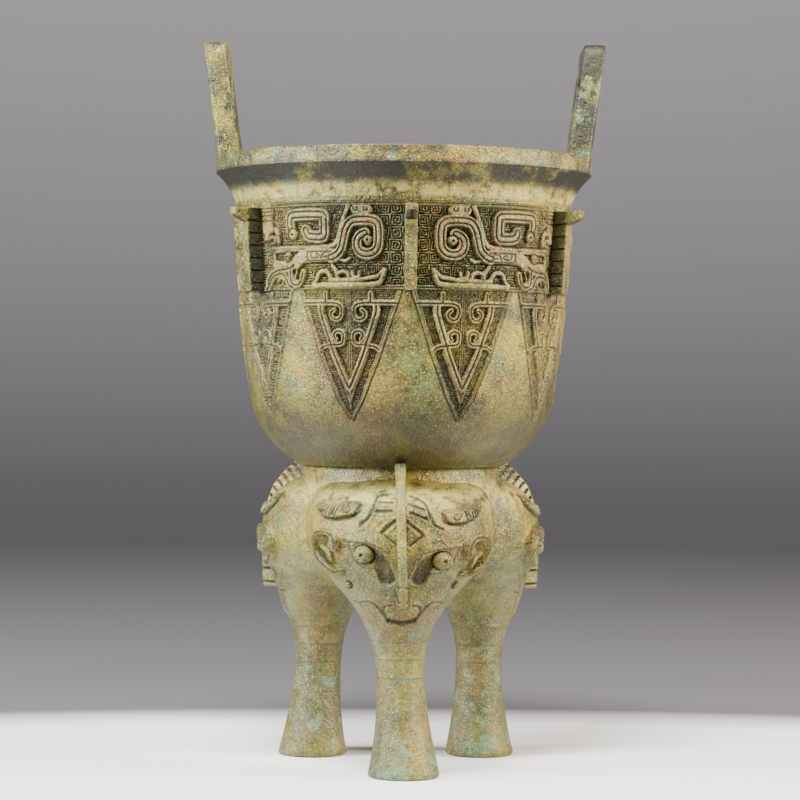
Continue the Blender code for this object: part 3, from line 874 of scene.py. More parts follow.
@dataclass(frozen=True)
class BowlShell:
    """The turned bowl: flared rim, wall cut back behind the relief, ledge and throat."""

    steps: int = 192
    recess: float = 0.0016
    relief_head_z: float = 0.3855
    relief_foot_z: float = 0.2385
    rim_round: float = 0.0008
    edge: float = 0.0006

    def profile(self) -> list[tuple[float, float]]:
        """The bowl's section.

        Returns:
            One closed loop of radius and height.
        """
        outline = [(BOWL.rim_radius - self.rim_round, BOWL.rim_z), (BOWL.rim_radius, BOWL.rim_z - self.rim_round)]
        for radius, height in BOWL.outline():
            behind = self.relief_foot_z < height < self.relief_head_z
            outline.append((radius - (self.recess if behind else 0.0), height))
        for height in (self.relief_head_z, self.relief_foot_z):
            radius = float(BOWL.radius(np.array(height)))
            side = 1e-5 if height == self.relief_head_z else -1e-5
            outline += [(radius, height + side), (radius - self.recess, height - side)]
        outline[2:] = sorted(outline[2:], key=lambda point: -point[1])
        waist = BOWL.waist_z - self.edge
        outline += [(BOWL.waist_radius - 0.0008, waist), (BOWL.stub_radius, waist)]
        outline += [(BOWL.stub_foot_radius, BOWL.stub_z), (BOWL.throat_radius, BOWL.stub_z)]
        outline += [(BOWL.throat_radius, BOWL.ledge_z - self.edge), (BOWL.throat_radius + self.edge, BOWL.ledge_z)]
        wall = BOWL.outline()[BOWL.cove_points - 1 :]
        run = np.gradient(wall, axis=0)
        run /= np.linalg.norm(run, axis=1)[:, None]
        inner = wall + BOWL.wall * np.stack([run[:, 1], -run[:, 0]], 1)
        for radius, height in inner[::-1]:
            if height > BOWL.ledge_z + 0.001:
                outline.append((float(radius), float(height)))
        mouth = BOWL.rim_radius - BOWL.rim_width
        outline += [(mouth, BOWL.rim_z - self.rim_round), (mouth + self.rim_round, BOWL.rim_z)]
        return outline

    def build(self, foundry: Foundry) -> bpy.types.Object:
        """Spins the section into the bowl."""
        return smoothed(foundry.cast("bowl_shell", spun(self.profile(), True, self.steps)), 38)


# Half of a beast mask: degrees round the lobe from its nose, and height in millimetres
MASK_WRINKLES: tuple[Path, ...] = (
    ((6.2, 190.7), (15.1, 188.8), (17.2, 185.9), (17.6, 179.4), (18.8, 175.4), (20.8, 171.3), (24.9, 169.3)),
    ((4.9, 185.1), (15.4, 183.5)),
    ((5.4, 179.8), (16.4, 177.3)),
)
MASK_LOZENGE: Path = ((3.3, 173.6), (12.0, 165.4), (3.7, 158.1))
MASK_SOCKET: tuple[Path, ...] = (
    ((36.0, 157.8), (26.5, 157.2), (16.0, 155.8), (11.5, 153.8), (9.2, 150.8), (8.6, 143.5),
     (9.2, 134.0), (11.5, 130.6), (15.5, 131.8)),
    ((36.0, 157.8), (33.0, 151.0), (31.5, 144.5), (27.0, 140.2), (20.5, 140.5), (15.0, 137.5)),
)
MASK_MOUTH: tuple[Path, ...] = (
    ((18.5, 107.2), (22.5, 111.0), (26.3, 115.1), (31.5, 118.9), (44.7, 119.3), (52.4, 116.5), (60.7, 119.0)),
    ((11.4, 117.4), (18.5, 116.8), (22.7, 113.8), (20.1, 110.5)),
    ((19.0, 108.6), (12.6, 106.8), (0.0, 106.4)),
)
MASK_HORN: Path = ((30.5, 179.3), (35.0, 178.8), (41.0, 178.4), (49.0, 179.3), (56.0, 181.2), (58.5, 183.6))
MASK_HORN_FOOT: Path = (
    (26.5, 181.5), (27.0, 179.0), (28.0, 175.8), (31.0, 173.3), (38.5, 172.3), (48.3, 174.0), (56.5, 177.0),
    (61.5, 181.5), (63.5, 187.5),
)
MASK_HAIRLINE: Path = ((27.0, 182.5), (31.0, 184.0), (38.0, 184.2), (48.0, 184.4), (55.0, 186.0), (61.0, 190.5))
MASK_JAW: Path = (
    (46.0, 100.0), (48.0, 109.0), (51.0, 121.5), (60.0, 130.0), (71.0, 140.0), (80.0, 150.0), (84.0, 205.0),
)
MASK_EAR: Path = (
    (42.5, 152.0), (41.0, 155.5), (42.0, 160.5), (46.5, 164.0), (53.0, 164.3), (58.5, 161.5), (61.5, 154.0),
    (61.5, 146.5), (58.0, 140.0), (51.0, 137.0), (46.5, 138.0),
)
MASK_EAR_INNER: Path = ((55.5, 153.0), (48.5, 150.5), (50.5, 144.5))


@dataclass(frozen=True)
class MaskedLobe:
    """One lobe with its leg: a beast mask outside, a hollow inside and rings on the leg."""

    spot: Spot
    eye: tuple[float, float] = (24.8, 149.2)
    eye_radius: float = 6.6
    eye_lift: float = 7.0
    plate_lift: float = 1.3
    cheek_knob: tuple[float, float] = (49.5, 130.0)
    rings: tuple[float, ...] = (93.0, 80.5, 68.0)
    drift: float = 2.6
    slant_low: float = 0.0019
    slant_high: float = 0.0027
    mask_half_angle: float = 72.0
    mask_foot_z: float = 0.100
    mask_head_z: float = 0.196
    fine_pitch: float = 0.00068
    plain_pitch: float = 0.00095
    foot_round: float = 0.0015
    leg_z: float = 0.064
    dome_rows: int = 14
    knee_rows: int = 51
    leg_rows: int = 17
    back_columns: int = 48
    skin_depth: float = 0.0027

    @property
    def pitch(self) -> float:
        """Distance between the samples of the mask."""
        return self.fine_pitch if self.spot is Spot.FRONT else self.plain_pitch

    def flat(self, angle: np.ndarray, height: np.ndarray) -> tuple[np.ndarray, np.ndarray]:
        """Place on the mask's flat pattern.

        Args:
            angle: Radians round the lobe from its nose.
            height: Height over the floor.

        Returns:
            Millimetres across and up the pattern.
        """
        table = np.linspace(LOBE.leg_height, LOBE.top_z - 0.0005, 400)
        run = np.hypot(np.diff(LOBE.radius(table, 0.0)), np.diff(table))
        length = np.concatenate([[0.0], np.cumsum(run)])
        return angle * LOBE.radius(height, angle) / MM, np.interp(height, table, length) / MM

    def drawn(self, path: Path) -> Path:
        """Lays a drawn path on the flat pattern.

        Args:
            path: Its points, as degrees from the nose and millimetres over the floor.

        Returns:
            The points, as millimetres across and up the pattern.
        """
        points = np.array(path, float)
        u, v = self.flat(np.radians(points[:, 0]), points[:, 1] * MM)
        return list(zip(u.tolist(), v.tolist()))

    def lean(self, height: np.ndarray) -> np.ndarray:
        """How far the mask's middle line has wandered from the lobe's, in radians."""
        amount = self.drift if self.spot is Spot.FRONT else 0.0
        return math.radians(amount) * eased((0.185 - height) / 0.045)

    def slant(self, angle: np.ndarray, height: np.ndarray) -> np.ndarray:
        """How far the mask's features stand over their mean height. The front mask is higher on its
        left, and the others' horns rise outwards.

        Args:
            angle: Radians round the lobe from its nose.
            height: Height over the floor.

        Returns:
            The distance in metres.
        """
        turned = np.degrees(np.abs(angle))
        horns = self.slant_high - 0.0037 * eased((turned - 28) / 30)
        high = horns * eased((height - 0.166) / 0.008) * eased(turned / 20)
        if self.spot is not Spot.FRONT:
            return -high
        low = self.slant_low * eased((height - 0.134) / 0.008) * eased((0.170 - height) / 0.008)
        return -np.sign(angle) * (high + low * eased(turned / 20))

    def relief(self, angle: np.ndarray, height: np.ndarray) -> Relief:
        """Relief of the mask and the leg's rings.

        Args:
            angle: Radians round the lobe from its nose.
            height: Height over the floor.

        Returns:
            The settled relief.
        """
        u, v = self.flat(angle - self.lean(height), height - self.slant(angle, height))
        made = Relief(np.abs(u), v)
        base = self._face(made, u, angle, height)
        made.ribbon(self.drawn(MASK_EAR), 4.6, 4.9, 1, 1.4)
        made.ribbon(self.drawn(MASK_EAR_INNER), 4.6, 3.0, 1, 1.8)
        self._horn(made)
        made.ribbon(self.drawn(MASK_SOCKET[0]), 2.8, 0.9, 1, 2.2)
        made.ribbon(self.drawn(MASK_SOCKET[1]), 2.6, 0.7, 1, 2.2)
        eye = self.drawn((self.eye, self.cheek_knob))
        made.knob(eye[0], self.eye_radius, self.eye_lift, 1.3)
        made.knob(eye[1], 3.0, 2.6)
        made.wear_and_highlight *= 0.35
        made.raised = np.where(made.raised < 0.02, made.UNDER, made.raised + base)
        for path in MASK_WRINKLES:
            made.groove(self.drawn(path), 1.35, 1.1, 2, 0.5)
        made.groove(self.drawn(MASK_LOZENGE), 1.5, 1.0, 0, 0.5)
        for path in MASK_SOCKET + MASK_MOUTH:
            made.groove(self.drawn(path), 1.2, 0.9, 2, 0.3)
        made.groove(self.drawn(MASK_EAR), 1.5, 1.2)
        for ring in self.rings:
            band = eased(1 - np.abs(height / MM - ring) / 1.0)
            made.height += 0.45 * band
            # Painted shade just below each ring.
            made.dark = np.maximum(made.dark, 0.5 * eased(1 - np.abs(height / MM - ring + 1.2) / 0.9))
        made.settle()
        made.dark *= 0.85
        made.height *= 1 - eased((height - self.mask_head_z) / 0.008)
        return made

    def _face(self, made: Relief, u: np.ndarray, angle: np.ndarray, height: np.ndarray) -> np.ndarray:
        """Raises the face with its jaw line and sinks the eye sockets.

        Args:
            made: The mask's relief.
            u: Millimetres across the pattern, less than 0 on one side.
            angle: Radians round the lobe from its nose.
            height: Height over the floor.

        Returns:
            The face's height in millimetres, which its features stand on.
        """
        line = np.array(MASK_JAW)
        edge = np.radians(np.interp(height / MM, line[:, 1], line[:, 0]))
        within = (edge - np.abs(angle - self.lean(height))) * LOBE.radius(height) / MM
        low = eased((0.175 - height) / 0.03) * eased((height - 0.098) / 0.006)
        low = low * eased((math.radians(70) - np.abs(angle)) / math.radians(8))
        made.height += self.plate_lift * low * eased(within / 2.6 + 0.5)
        made.height += 0.5 * low * eased(1 - np.abs(within - 1.6) / 2.2)
        # Painted shadow just outside the face plate's edge.
        made.dark = np.maximum(made.dark, 0.5 * low * eased(1 - np.abs(within + 1.4) / 1.6))
        # Painted shade in the eye sockets and inside the ears, and a painted shadow under the nose.
        made.hollow(self.drawn(((23.0, 150.0), (16.0, 148.5), (12.6, 142.0), (11.4, 135.0))), 10.5, 2.2, 0.75)
        made.hollow(self.drawn(((52.0, 158.5), (57.0, 151.0), (54.0, 143.0))), 6.0, 1.5, 0.75)
        made.hollow(self.drawn(((17.0, 107.0), (0.0, 105.0))), 3.6, 1.2, 0.85)
        return np.where(height > 0.1, made.height, 0.0) * (np.abs(u) < 200)

    def _horn(self, made: Relief) -> None:
        """Adds the long horn with its ribbed outer half, spiral inner half and grooved outline.

        Args:
            made: The mask's relief.
        """
        path = self.drawn(MASK_HORN)
        made.ribbon(path, 9.8, 3.2, 1, 2.6)
        away = made.distance(path, reach=9)
        made.groove(self.drawn(MASK_HORN_FOOT), 1.6, 1.3)
        made.groove(self.drawn(MASK_HAIRLINE), 0.9, 0.6)
        middle = (path[0][0] + path[-1][0]) / 2 - 3.0
        along = made.u * 0.94 + made.v * 0.34
        ribs = eased(np.cos(math.tau * along / 2.7) * 1.2 + 0.2)
        outer = (made.u > middle) & (away < 4.2)
        made.cut = np.where(outer, np.maximum(made.cut, 1.7 * ribs), made.cut)
        turn = np.linspace(0, 6.6, 18)
        wide = 0.7 + 0.5 * turn
        across, up = path[0][0] + 4.5 + wide * np.cos(turn), path[0][1] + wide * np.sin(turn)
        made.groove(list(zip(across.tolist(), up.tolist())), 0.9, 1.2, 0)

    def columns(self) -> np.ndarray:
        """Angles of the mesh's columns.

        Returns:
            Radians round the lobe, close in the mask and wide apart behind it.
        """
        half = math.radians(self.mask_half_angle)
        front = round(2 * half * LOBE.radius_m / self.pitch)
        fine = np.linspace(-half, half, front + 1)
        back = np.linspace(half, math.tau - half, self.back_columns + 1)[1:]
        return np.concatenate([fine, back])

    def rows(self) -> np.ndarray:
        """Heights of the mesh's rows.

        Returns:
            Heights down the lobe and its leg, from the pole to the foot's edge.
        """
        dome = LOBE.widest_z + LOBE.dome_height * np.sin(np.radians(np.linspace(90, 42, self.dome_rows)))
        head = max(self.mask_head_z, float(dome[-1]))
        mask = np.linspace(head, self.mask_foot_z, round((head - self.mask_foot_z) / self.pitch))
        knee = np.linspace(self.mask_foot_z, self.leg_z, self.knee_rows + 1)[1:]
        leg = np.linspace(self.leg_z, self.foot_round, self.leg_rows + 1)[1:]
        return np.concatenate([dome[dome > head + 1e-5], mask, knee, leg])

    def build(self, foundry: Foundry) -> bpy.types.Object:
        """Builds the lobe's skin, cuts its hollow and stores its wear, grime, painted shade and painted highlight.

        Args:
            foundry: Makes the finished piece.

        Returns:
            The finished piece.
        """
        columns, rows = self.columns(), self.rows()
        bm, column, row = grid(len(columns) - 1, len(rows) + 1)
        angle = columns[column]
        height = np.concatenate([rows, [0.0, 0.0]])[row]
        lift = self.relief(angle, height).height * MM
        lift[row == 0] = 0.0
        lift[row == len(rows)] = -self.foot_round
        lift[row == len(rows) + 1] = -LOBE.foot_radius
        name = f"masked_lobe_{self.spot.name.lower()}"
        mesh = hollowed(name, wrapped(bm, LOBE.place(angle, height, lift, self.spot)))
        angle, proud = LOBE.unplace(mesh_points(mesh), self.spot)
        wear_and_sheen = self.relief(angle, mesh_points(mesh)[:, 2])
        outside = proud > -self.skin_depth
        bm = bmesh.new()
        bm.from_mesh(mesh)
        bpy.data.meshes.remove(mesh)
        # The faces inside the hollow get a fixed darkening.
        recess, wear_and_highlight = np.where(outside, wear_and_sheen.dark, 0.6), np.where(outside, wear_and_sheen.wear_and_highlight, 0.0)
        return smoothed(foundry.cast(name, bm, recess, wear_and_highlight), 60)


def mesh_points(mesh: bpy.types.Mesh) -> np.ndarray:
    """The mesh's vertex places.

    Args:
        mesh: The mesh.

    Returns:
        One row of x, y, z for each vertex.
    """
    places = np.empty(len(mesh.vertices) * 3, np.float32)
    mesh.vertices.foreach_get("co", places)
    return places.reshape(-1, 3).astype(float)


def cavity(spot: Spot) -> bmesh.types.BMesh:
    """The hollow of one lobe.

    Args:
        spot: Which lobe.

    Returns:
        A closed shape.
    """
    top = LOBE.top_z - LOBE.wall
    dome = LOBE.widest_z + (top - LOBE.widest_z) * np.sin(np.radians(np.linspace(90, 0, 12)))
    knee = np.linspace(LOBE.widest_z, LOBE.cavity_floor_z, 18)[1:]
    rows = np.concatenate([dome, knee])
    sides = 64
    bm, column, row = grid(sides, len(rows))
    height = np.concatenate([rows, [LOBE.cavity_floor_z - 0.008]])[row]
    angle = (column / sides - 0.5) * math.tau
    stretch = LOBE.dome_height / (top - LOBE.widest_z)
    outside = height + np.maximum(height - LOBE.widest_z, 0) * (stretch - 1)
    lift = LOBE.radius(outside, angle) - LOBE.radius(height, angle) - LOBE.wall
    ends = (row == 0) | (row == len(rows))
    lift = np.where(ends, -LOBE.radius(height, angle), lift)
    return wrapped(bm, LOBE.place(angle, height, lift, spot))


def throat() -> bmesh.types.BMesh:
    """The round way from the bowl down into the lobes.

    Returns:
        A closed shape.
    """
    bm = bmesh.new()
    foot, radius = 0.17, BOWL.throat_radius
    depth = BOWL.ledge_z + 0.01 - foot
    bmesh.ops.create_cone(bm, cap_ends=True, segments=96, radius1=radius, radius2=radius, depth=depth)
    bmesh.ops.translate(bm, verts=bm.verts, vec=(0, 0, foot + depth / 2))
    return bm


def linked(name: str, bm: bmesh.types.BMesh) -> bpy.types.Object:
    """Links an object of a shape.

    Args:
        name: The object's name.
        bm: Its shape, which is freed.

    Returns:
        The object.
    """
    made = bpy.data.objects.new(name, bpy.data.meshes.new(name))
    bm.to_mesh(made.data)
    bm.free()
    bpy.context.scene.collection.objects.link(made)
    return made


def hollowed(name: str, bm: bmesh.types.BMesh) -> bpy.types.Mesh:
    """Cuts the three lobes' hollows and the throat out of a closed shape.

    Args:
        name: Name of the mesh to make.
        bm: The shape, which is freed.

    Returns:
        The mesh that is left.
    """
    solid = linked(name, bm)
    shapes = [*(cavity(spot) for spot in Spot), throat()]
    cutters = [linked(f"cutter_{index}", shape) for index, shape in enumerate(shapes)]
    for cutter in cutters:
        cut = solid.modifiers.new(cutter.name, "BOOLEAN")
        cut.operation = "DIFFERENCE"
        cut.solver = "MANIFOLD"
        cut.object = cutter
    bpy.context.view_layer.update()
    graph = bpy.context.evaluated_depsgraph_get()
    mesh = bpy.data.meshes.new_from_object(solid.evaluated_get(graph))
    for extra in [solid, *cutters]:
        data = extra.data
        bpy.data.objects.remove(extra)
        bpy.data.meshes.remove(data)
    mesh.name = name
    return mesh


def skin(rings: np.ndarray, closed: bool = False) -> bmesh.types.BMesh:
    """Lays a skin over rings of points.

    Args:
        rings: The rings in order, each a row of points.
        closed: Whether the last ring meets the first. The ends are capped otherwise.

    Returns:
        The closed shape.
    """
    if closed:
        rings = np.concatenate([rings, rings[:1]])
    else:
        middle = rings.mean(1, keepdims=True) + 0 * rings
        rings = np.concatenate([middle[:1], rings, middle[-1:]])
    rings = np.concatenate([rings, rings[:, :1]], 1)
    bm, column, row = grid(rings.shape[1] - 1, rings.shape[0] - 1)
    return wrapped(bm, rings[row, column])


def plate_rings(
    height: np.ndarray,
    back: np.ndarray,
    front: np.ndarray,
    half: np.ndarray,
    corner: float,
    ridge: np.ndarray | float,
    turn: np.ndarray | float,
) -> np.ndarray:
    """Rings of an upright plate that stands out from the axis.

    Args:
        height: Height of each ring.
        back: Its inner reach from the axis.
        front: Its outer reach.
        half: Half its thickness, one row of side places for each ring.
        corner: Size of its rounded edge.
        ridge: How far the middle of its face stands out.
        turn: Angle of the plate about the axis, in radians.

    Returns:
        The rings, as rows of points.
    """
    share = np.linspace(0, 1, half.shape[1])
    side = back[:, None] + (front - corner - back)[:, None] * share
    tip = half[:, -1:]
    across = np.hstack([half, tip - 0.3 * corner, tip - corner, 0 * tip])
    crest = (front + ridge)[:, None]
    out = np.hstack([side, front[:, None] - 0.3 * corner, front[:, None], crest])
    across = np.hstack([across, -across[:, -2::-1]])
    out = np.hstack([out, out[:, -2::-1]])
    turn = np.broadcast_to(turn, height.shape)[:, None]
    return around(across, out, height[:, None], turn)


@dataclass(frozen=True)
class BandFlange:
    """Notched flange across the band, with a tab hooked outwards at its head."""

    foot_z: float = 0.3265
    height: float = 0.056
    thickness: float = 0.008
    depth: float = 0.0106
    tab_depth: float = 0.0088
    tab_height: float = 0.005
    slot_pitch: float = 0.0084
    slot_depth: float = 0.0008
    corner: float = 0.0004
    soiled: int = 300
    pocket_depth: float = 0.0022
    root: float = 0.003
    rings: int = 119
    sides: int = 14

    def build(self, foundry: Foundry, azimuth: int) -> bpy.types.Object:
        """Builds one flange.

        Args:
            foundry: Makes the finished piece.
            azimuth: Its angle from the front, in degrees.

        Returns:
            The finished piece.
        """
        height = np.linspace(self.foot_z, self.foot_z + self.height, self.rings)
        wall = BOWL.radius(height)
        rise = height - self.foot_z
        tab = eased((rise - self.height + 2 * self.tab_height) / self.tab_height)
        front = wall + self.depth + self.tab_depth * tab
        ends = np.minimum(rise, self.height - rise)
        half = np.full((self.rings, self.sides), self.thickness / 2) - 0.0006 * eased(1 - ends[:, None] / 0.0008)
        share = np.linspace(0, 1, self.sides)
        window = eased((share - 0.20) / 0.1) * eased((0.96 - share) / 0.1)
        half = half - self.slot_depth * self.slots(rise)[:, None] * window
        turn = math.radians(azimuth + BAND_TURN)
        ridge = -self.pocket_depth * self.pocket(rise)
        bm = skin(plate_rings(height, wall - self.root, front, half, self.corner, ridge, turn))
        points = coordinates(bm)
        out = np.hypot(points[:, 0], points[:, 1])
        across = np.abs(points[:, 0] * math.cos(turn) + points[:, 1] * math.sin(turn))
        proud = out - BOWL.radius(points[:, 2])
        sides = eased((self.depth - 0.0006 - proud) / 0.001)
        # Painted shade in the slots and where the flange meets the wall; its sides are painted a little darker, and
        # much darker on the soiled flange.
        recess = np.maximum(self.slots(points[:, 2] - self.foot_z) * sides, eased(1 - proud / 0.0025))
        recess = np.maximum(recess, (0.85 if azimuth == self.soiled else 0.3) * sides)
        # Painted shadow in the pocket under the tab.
        tab_shadow = self.pocket(points[:, 2] - self.foot_z) * (1 - sides) * eased((0.0037 - across) / 0.0004)
        recess = np.maximum(recess, tab_shadow)
        # The front face takes wear and a painted highlight.
        return smoothed(foundry.cast(f"band_flange_{azimuth}", bm, recess, 0.3 * (1 - sides)), 42)

    def pocket(self, rise: np.ndarray) -> np.ndarray:
        """Share of the depth of the pocket under the tab at heights over the flange's foot."""
        below = self.height - rise
        return eased((below - 0.0042) / 0.0006) * eased((0.0102 - below) / 0.0006)

    def slots(self, rise: np.ndarray) -> np.ndarray:
        """Share of the side slots' depth at heights over the flange's foot."""
        near = np.abs((rise / self.slot_pitch - 0.62 + 0.5) % 1.0 - 0.5) * self.slot_pitch
        return eased((0.0009 - near) / 0.0005) * eased((self.height - 0.0075 - rise) / 0.001)


@dataclass(frozen=True)
class NoseFlange:
    """Notched ridge down the forehead and nose of a mask, cut off square over the mouth."""

    thickness: float = 0.0064
    top_thickness: float = 0.0076
    foot_z: float = 0.1175
    corner: float = 0.0012
    ridge: float = 0.0006
    front: Path = (
        (0.1175, 0.1128), (0.1345, 0.1138), (0.1493, 0.1148), (0.1600, 0.1138), (0.1716, 0.1120),
        (0.1806, 0.1095), (0.1913, 0.1045), (0.2010, 0.0957), (0.2075, 0.0865), (0.2115, 0.0865),
    )
    notch_pitch: float = 0.0085
    notch_depth: float = 0.0010
    root: float = 0.003
    least_reach: float = 0.060
    rings: int = 190
    sides: int = 12
    foot_grooves: tuple[float, ...] = (0.1208, 0.1305)
    lean: tuple[float, float] = (math.radians(-0.4), math.radians(1.25))

    def build(self, foundry: Foundry, spot: Spot) -> bpy.types.Object:
        """Builds the ridge of one mask.

        Args:
            foundry: Makes the finished piece.
            spot: Which mask.

        Returns:
            The finished piece.
        """
        line = np.array(self.front)
        height = np.linspace(self.foot_z, line[-1, 0], self.rings)
        front = np.interp(height, line[:, 0], line[:, 1])
        front = np.convolve(np.pad(front, 4, "edge"), np.ones(9) / 9, "valid")
        nose = LOBE.radius(np.minimum(height, LOBE.top_z - 0.0004), 0.0)
        lobe = np.maximum(LOBE.centre(height) + nose - self.root, self.least_reach)
        back = np.where(height > BOWL.waist_z - 0.001, BOWL.waist_radius - 0.002, lobe)
        back = np.minimum(back, front - 0.004)
        ends = np.minimum(height - self.foot_z, line[-1, 0] - height)
        share = eased((height - 0.195) / 0.012)
        half = (self.thickness + (self.top_thickness - self.thickness) * share) / 2
        half = (half - 0.0009 * eased(1 - ends / 0.0012))[:, None] * np.linspace(1.06, 0.95, self.sides)
        out = back[:, None] + (front - back)[:, None] * np.linspace(0, 1, self.sides)
        notch = self.notches(out, height[:, None] + 0 * out)
        depth = front[:, None] - out
        window = eased((depth - 0.0005) / 0.0008) * eased((0.0075 - depth) / 0.001)
        half = half - self.notch_depth * notch * np.where(height[:, None] > 0.15, window, 1.0)
        turn = math.radians(spot.value) + LOBE.turn
        share = (line[-1, 0] - height) / (line[-1, 0] - line[0, 0])
        lean = self.lean[0] + (self.lean[1] - self.lean[0]) * share if spot is Spot.FRONT else 0 * share
        bm = skin(plate_rings(height, back, front, half, self.corner, self.ridge, turn + lean))
        points = coordinates(bm)
        reach = points[:, 0] * math.sin(turn) - points[:, 1] * math.cos(turn)
        level = points[:, 2]
        proud = reach - np.interp(level, height, lobe)
        inside = np.interp(level, height, front) - reach
        # Painted shade in the notches and where the ridge meets the lobe.
        notch_dark = self.notches(reach, level) * eased((inside - 0.0002) / 0.0008)
        recess = np.maximum(0.9 * eased(1 - (proud - self.root) / 0.003), notch_dark)
        # The front edges take wear and a painted highlight.
        wear_and_highlight = 0.4 * eased(1 - inside / 0.001)
        return smoothed(foundry.cast(f"nose_flange_{spot.name.lower()}", bm, recess, wear_and_highlight), 42)

    def notches(self, out: np.ndarray, height: np.ndarray) -> np.ndarray:
        """Share of the notches' depth.

        Args:
            out: Distance from the vessel's axis.
            height: Height over the floor.

        Returns:
            The share at each point of the side faces.
        """
        phase = (height - out) / self.notch_pitch
        near = np.abs((phase + 0.5) % 1.0 - 0.5) * self.notch_pitch / 1.4
        upper = eased((0.0013 - near) / 0.0006) * eased((height - 0.178) / 0.002) * eased((0.2085 - height) / 0.001)
        for groove in self.foot_grooves:
            upper = np.maximum(upper, eased((0.0010 - np.abs(height - groove)) / 0.0005))
        return upper


@dataclass(frozen=True)
class EarLoop:
    """Upright loop on the rim that leans out and thickens to its top."""

    turn: float = math.radians(-3)
    rise: float = 0.079
    root: float = 0.0066
    base_width: float = 0.068
    top_width: float = 0.060
    base_thickness: float = 0.013
    top_thickness: float = 0.015
    lean: float = 0.008
    bar: float = 0.022
    side_width: float = 0.014
    sill: float = 0.004
    corner: float = 0.010
    foot_corner: float = 0.002
    sill_corner: float = 0.003
    edge: float = 0.0016

    def outline(self, half_foot: float, half_head: float, foot: float, head: float, corners: Corners) -> np.ndarray:
        """Closed outline of the loop, as rows of across and up.

        Args:
            half_foot: Half width at the foot.
            half_head: Half width at the head.
            foot: Height of the foot.
            head: Height of the head.
            corners: Radius of its corners, at the foot and at the head.

        Returns:
            Points counter-clockwise from the right foot.
        """
        places = (
            (half_foot, foot, corners[0], -90), (half_head, head, corners[1], 0),
            (-half_head, head, corners[1], 90), (-half_foot, foot, corners[0], 180),
        )
        points = []
        for x, z, radius, start in places:
            middle = (x - math.copysign(radius, x), z + (radius if start in (-90, 180) else -radius))
            for angle in np.radians(np.linspace(start, start + 90, 8)):
                points.append((middle[0] + radius * math.cos(angle), middle[1] + radius * math.sin(angle)))
        loop = np.array(points + points[:1])
        dense = [first + (second - first) * share for first, second in zip(loop, loop[1:]) for share in (0.0, 0.5)]
        return np.array(dense)

    def build(self, foundry: Foundry, side: Side) -> bpy.types.Object:
        """Builds one ear.

        Args:
            foundry: Makes the finished piece.
            side: Which ear.

        Returns:
            The finished piece.
        """
        half_base, half_top = self.base_width / 2, self.top_width / 2
        outer = self.outline(half_base, half_top, -self.root, self.rise, (self.foot_corner, self.corner))
        within = half_base - self.side_width, half_top - self.side_width
        inner = self.outline(*within, self.sill, self.rise - self.bar, (self.sill_corner, self.corner / 2))
        full = np.linalg.norm(outer - inner, axis=1)[:, None]
        turn = (outer - inner) / full
        edge = self.edge + 0 * full
        along = np.hstack([edge, full / 2, full - edge, full - 0.3 * edge, full, full, full, full - 0.3 * edge,
                           full - edge, full / 2, edge, 0.3 * edge, 0 * full, 0 * full, 0 * full, 0.3 * edge])
        through = np.array([-1, -1, -1, -1, -1, 0, 1, 1, 1, 1, 1, 1, 1, 0, -1, -1], float)
        pull = np.array([0, 0, 0, 0.3, 1, 0, 1, 0.3, 0, 0, 0, 0.3, 1, 0, 1, 0.3]) * self.edge
        plane = inner[:, None, :] + along[:, :, None] * turn[:, None, :]
        across, up = plane[..., 0], plane[..., 1]
        share = (up + self.root) / (self.rise + self.root)
        bow = BOWL.rim_radius - np.sqrt(BOWL.rim_radius**2 - across**2)
        face = BOWL.rim_radius + self.lean * share - bow * (1 - eased(share)) - 0.0003
        thickness = self.base_thickness + (self.top_thickness - self.base_thickness) * share
        out = face - thickness / 2 + through * (thickness / 2 - pull)
        turned = around(across, out, BOWL.rim_z + up, side.value * math.pi / 2 + self.turn)
        return smoothed(foundry.cast(f"ear_{side.name.lower()}", skin(turned, closed=True)), 50)


def add(tree: bpy.types.NodeTree, kind: str, settings: dict[str, Any], links: dict[str | int, Any]) -> Any:
    """Adds a shader node.

    Args:
        tree: The material's node tree.
        kind: The node's type, without its prefix.
        settings: Values for its properties, or for its sockets where it has no such property.
        links: What feeds each of its sockets, as a socket or a value.

    Returns:
        The new node.
    """
    node = tree.nodes.new(f"ShaderNode{kind}")
    for name, value in settings.items():
        setattr(node, name, value)
    for name, source in links.items():
        if isinstance(source, bpy.types.NodeSocket):
            tree.links.new(source, node.inputs[name])
        else:
            node.inputs[name].default_value = source
    return node


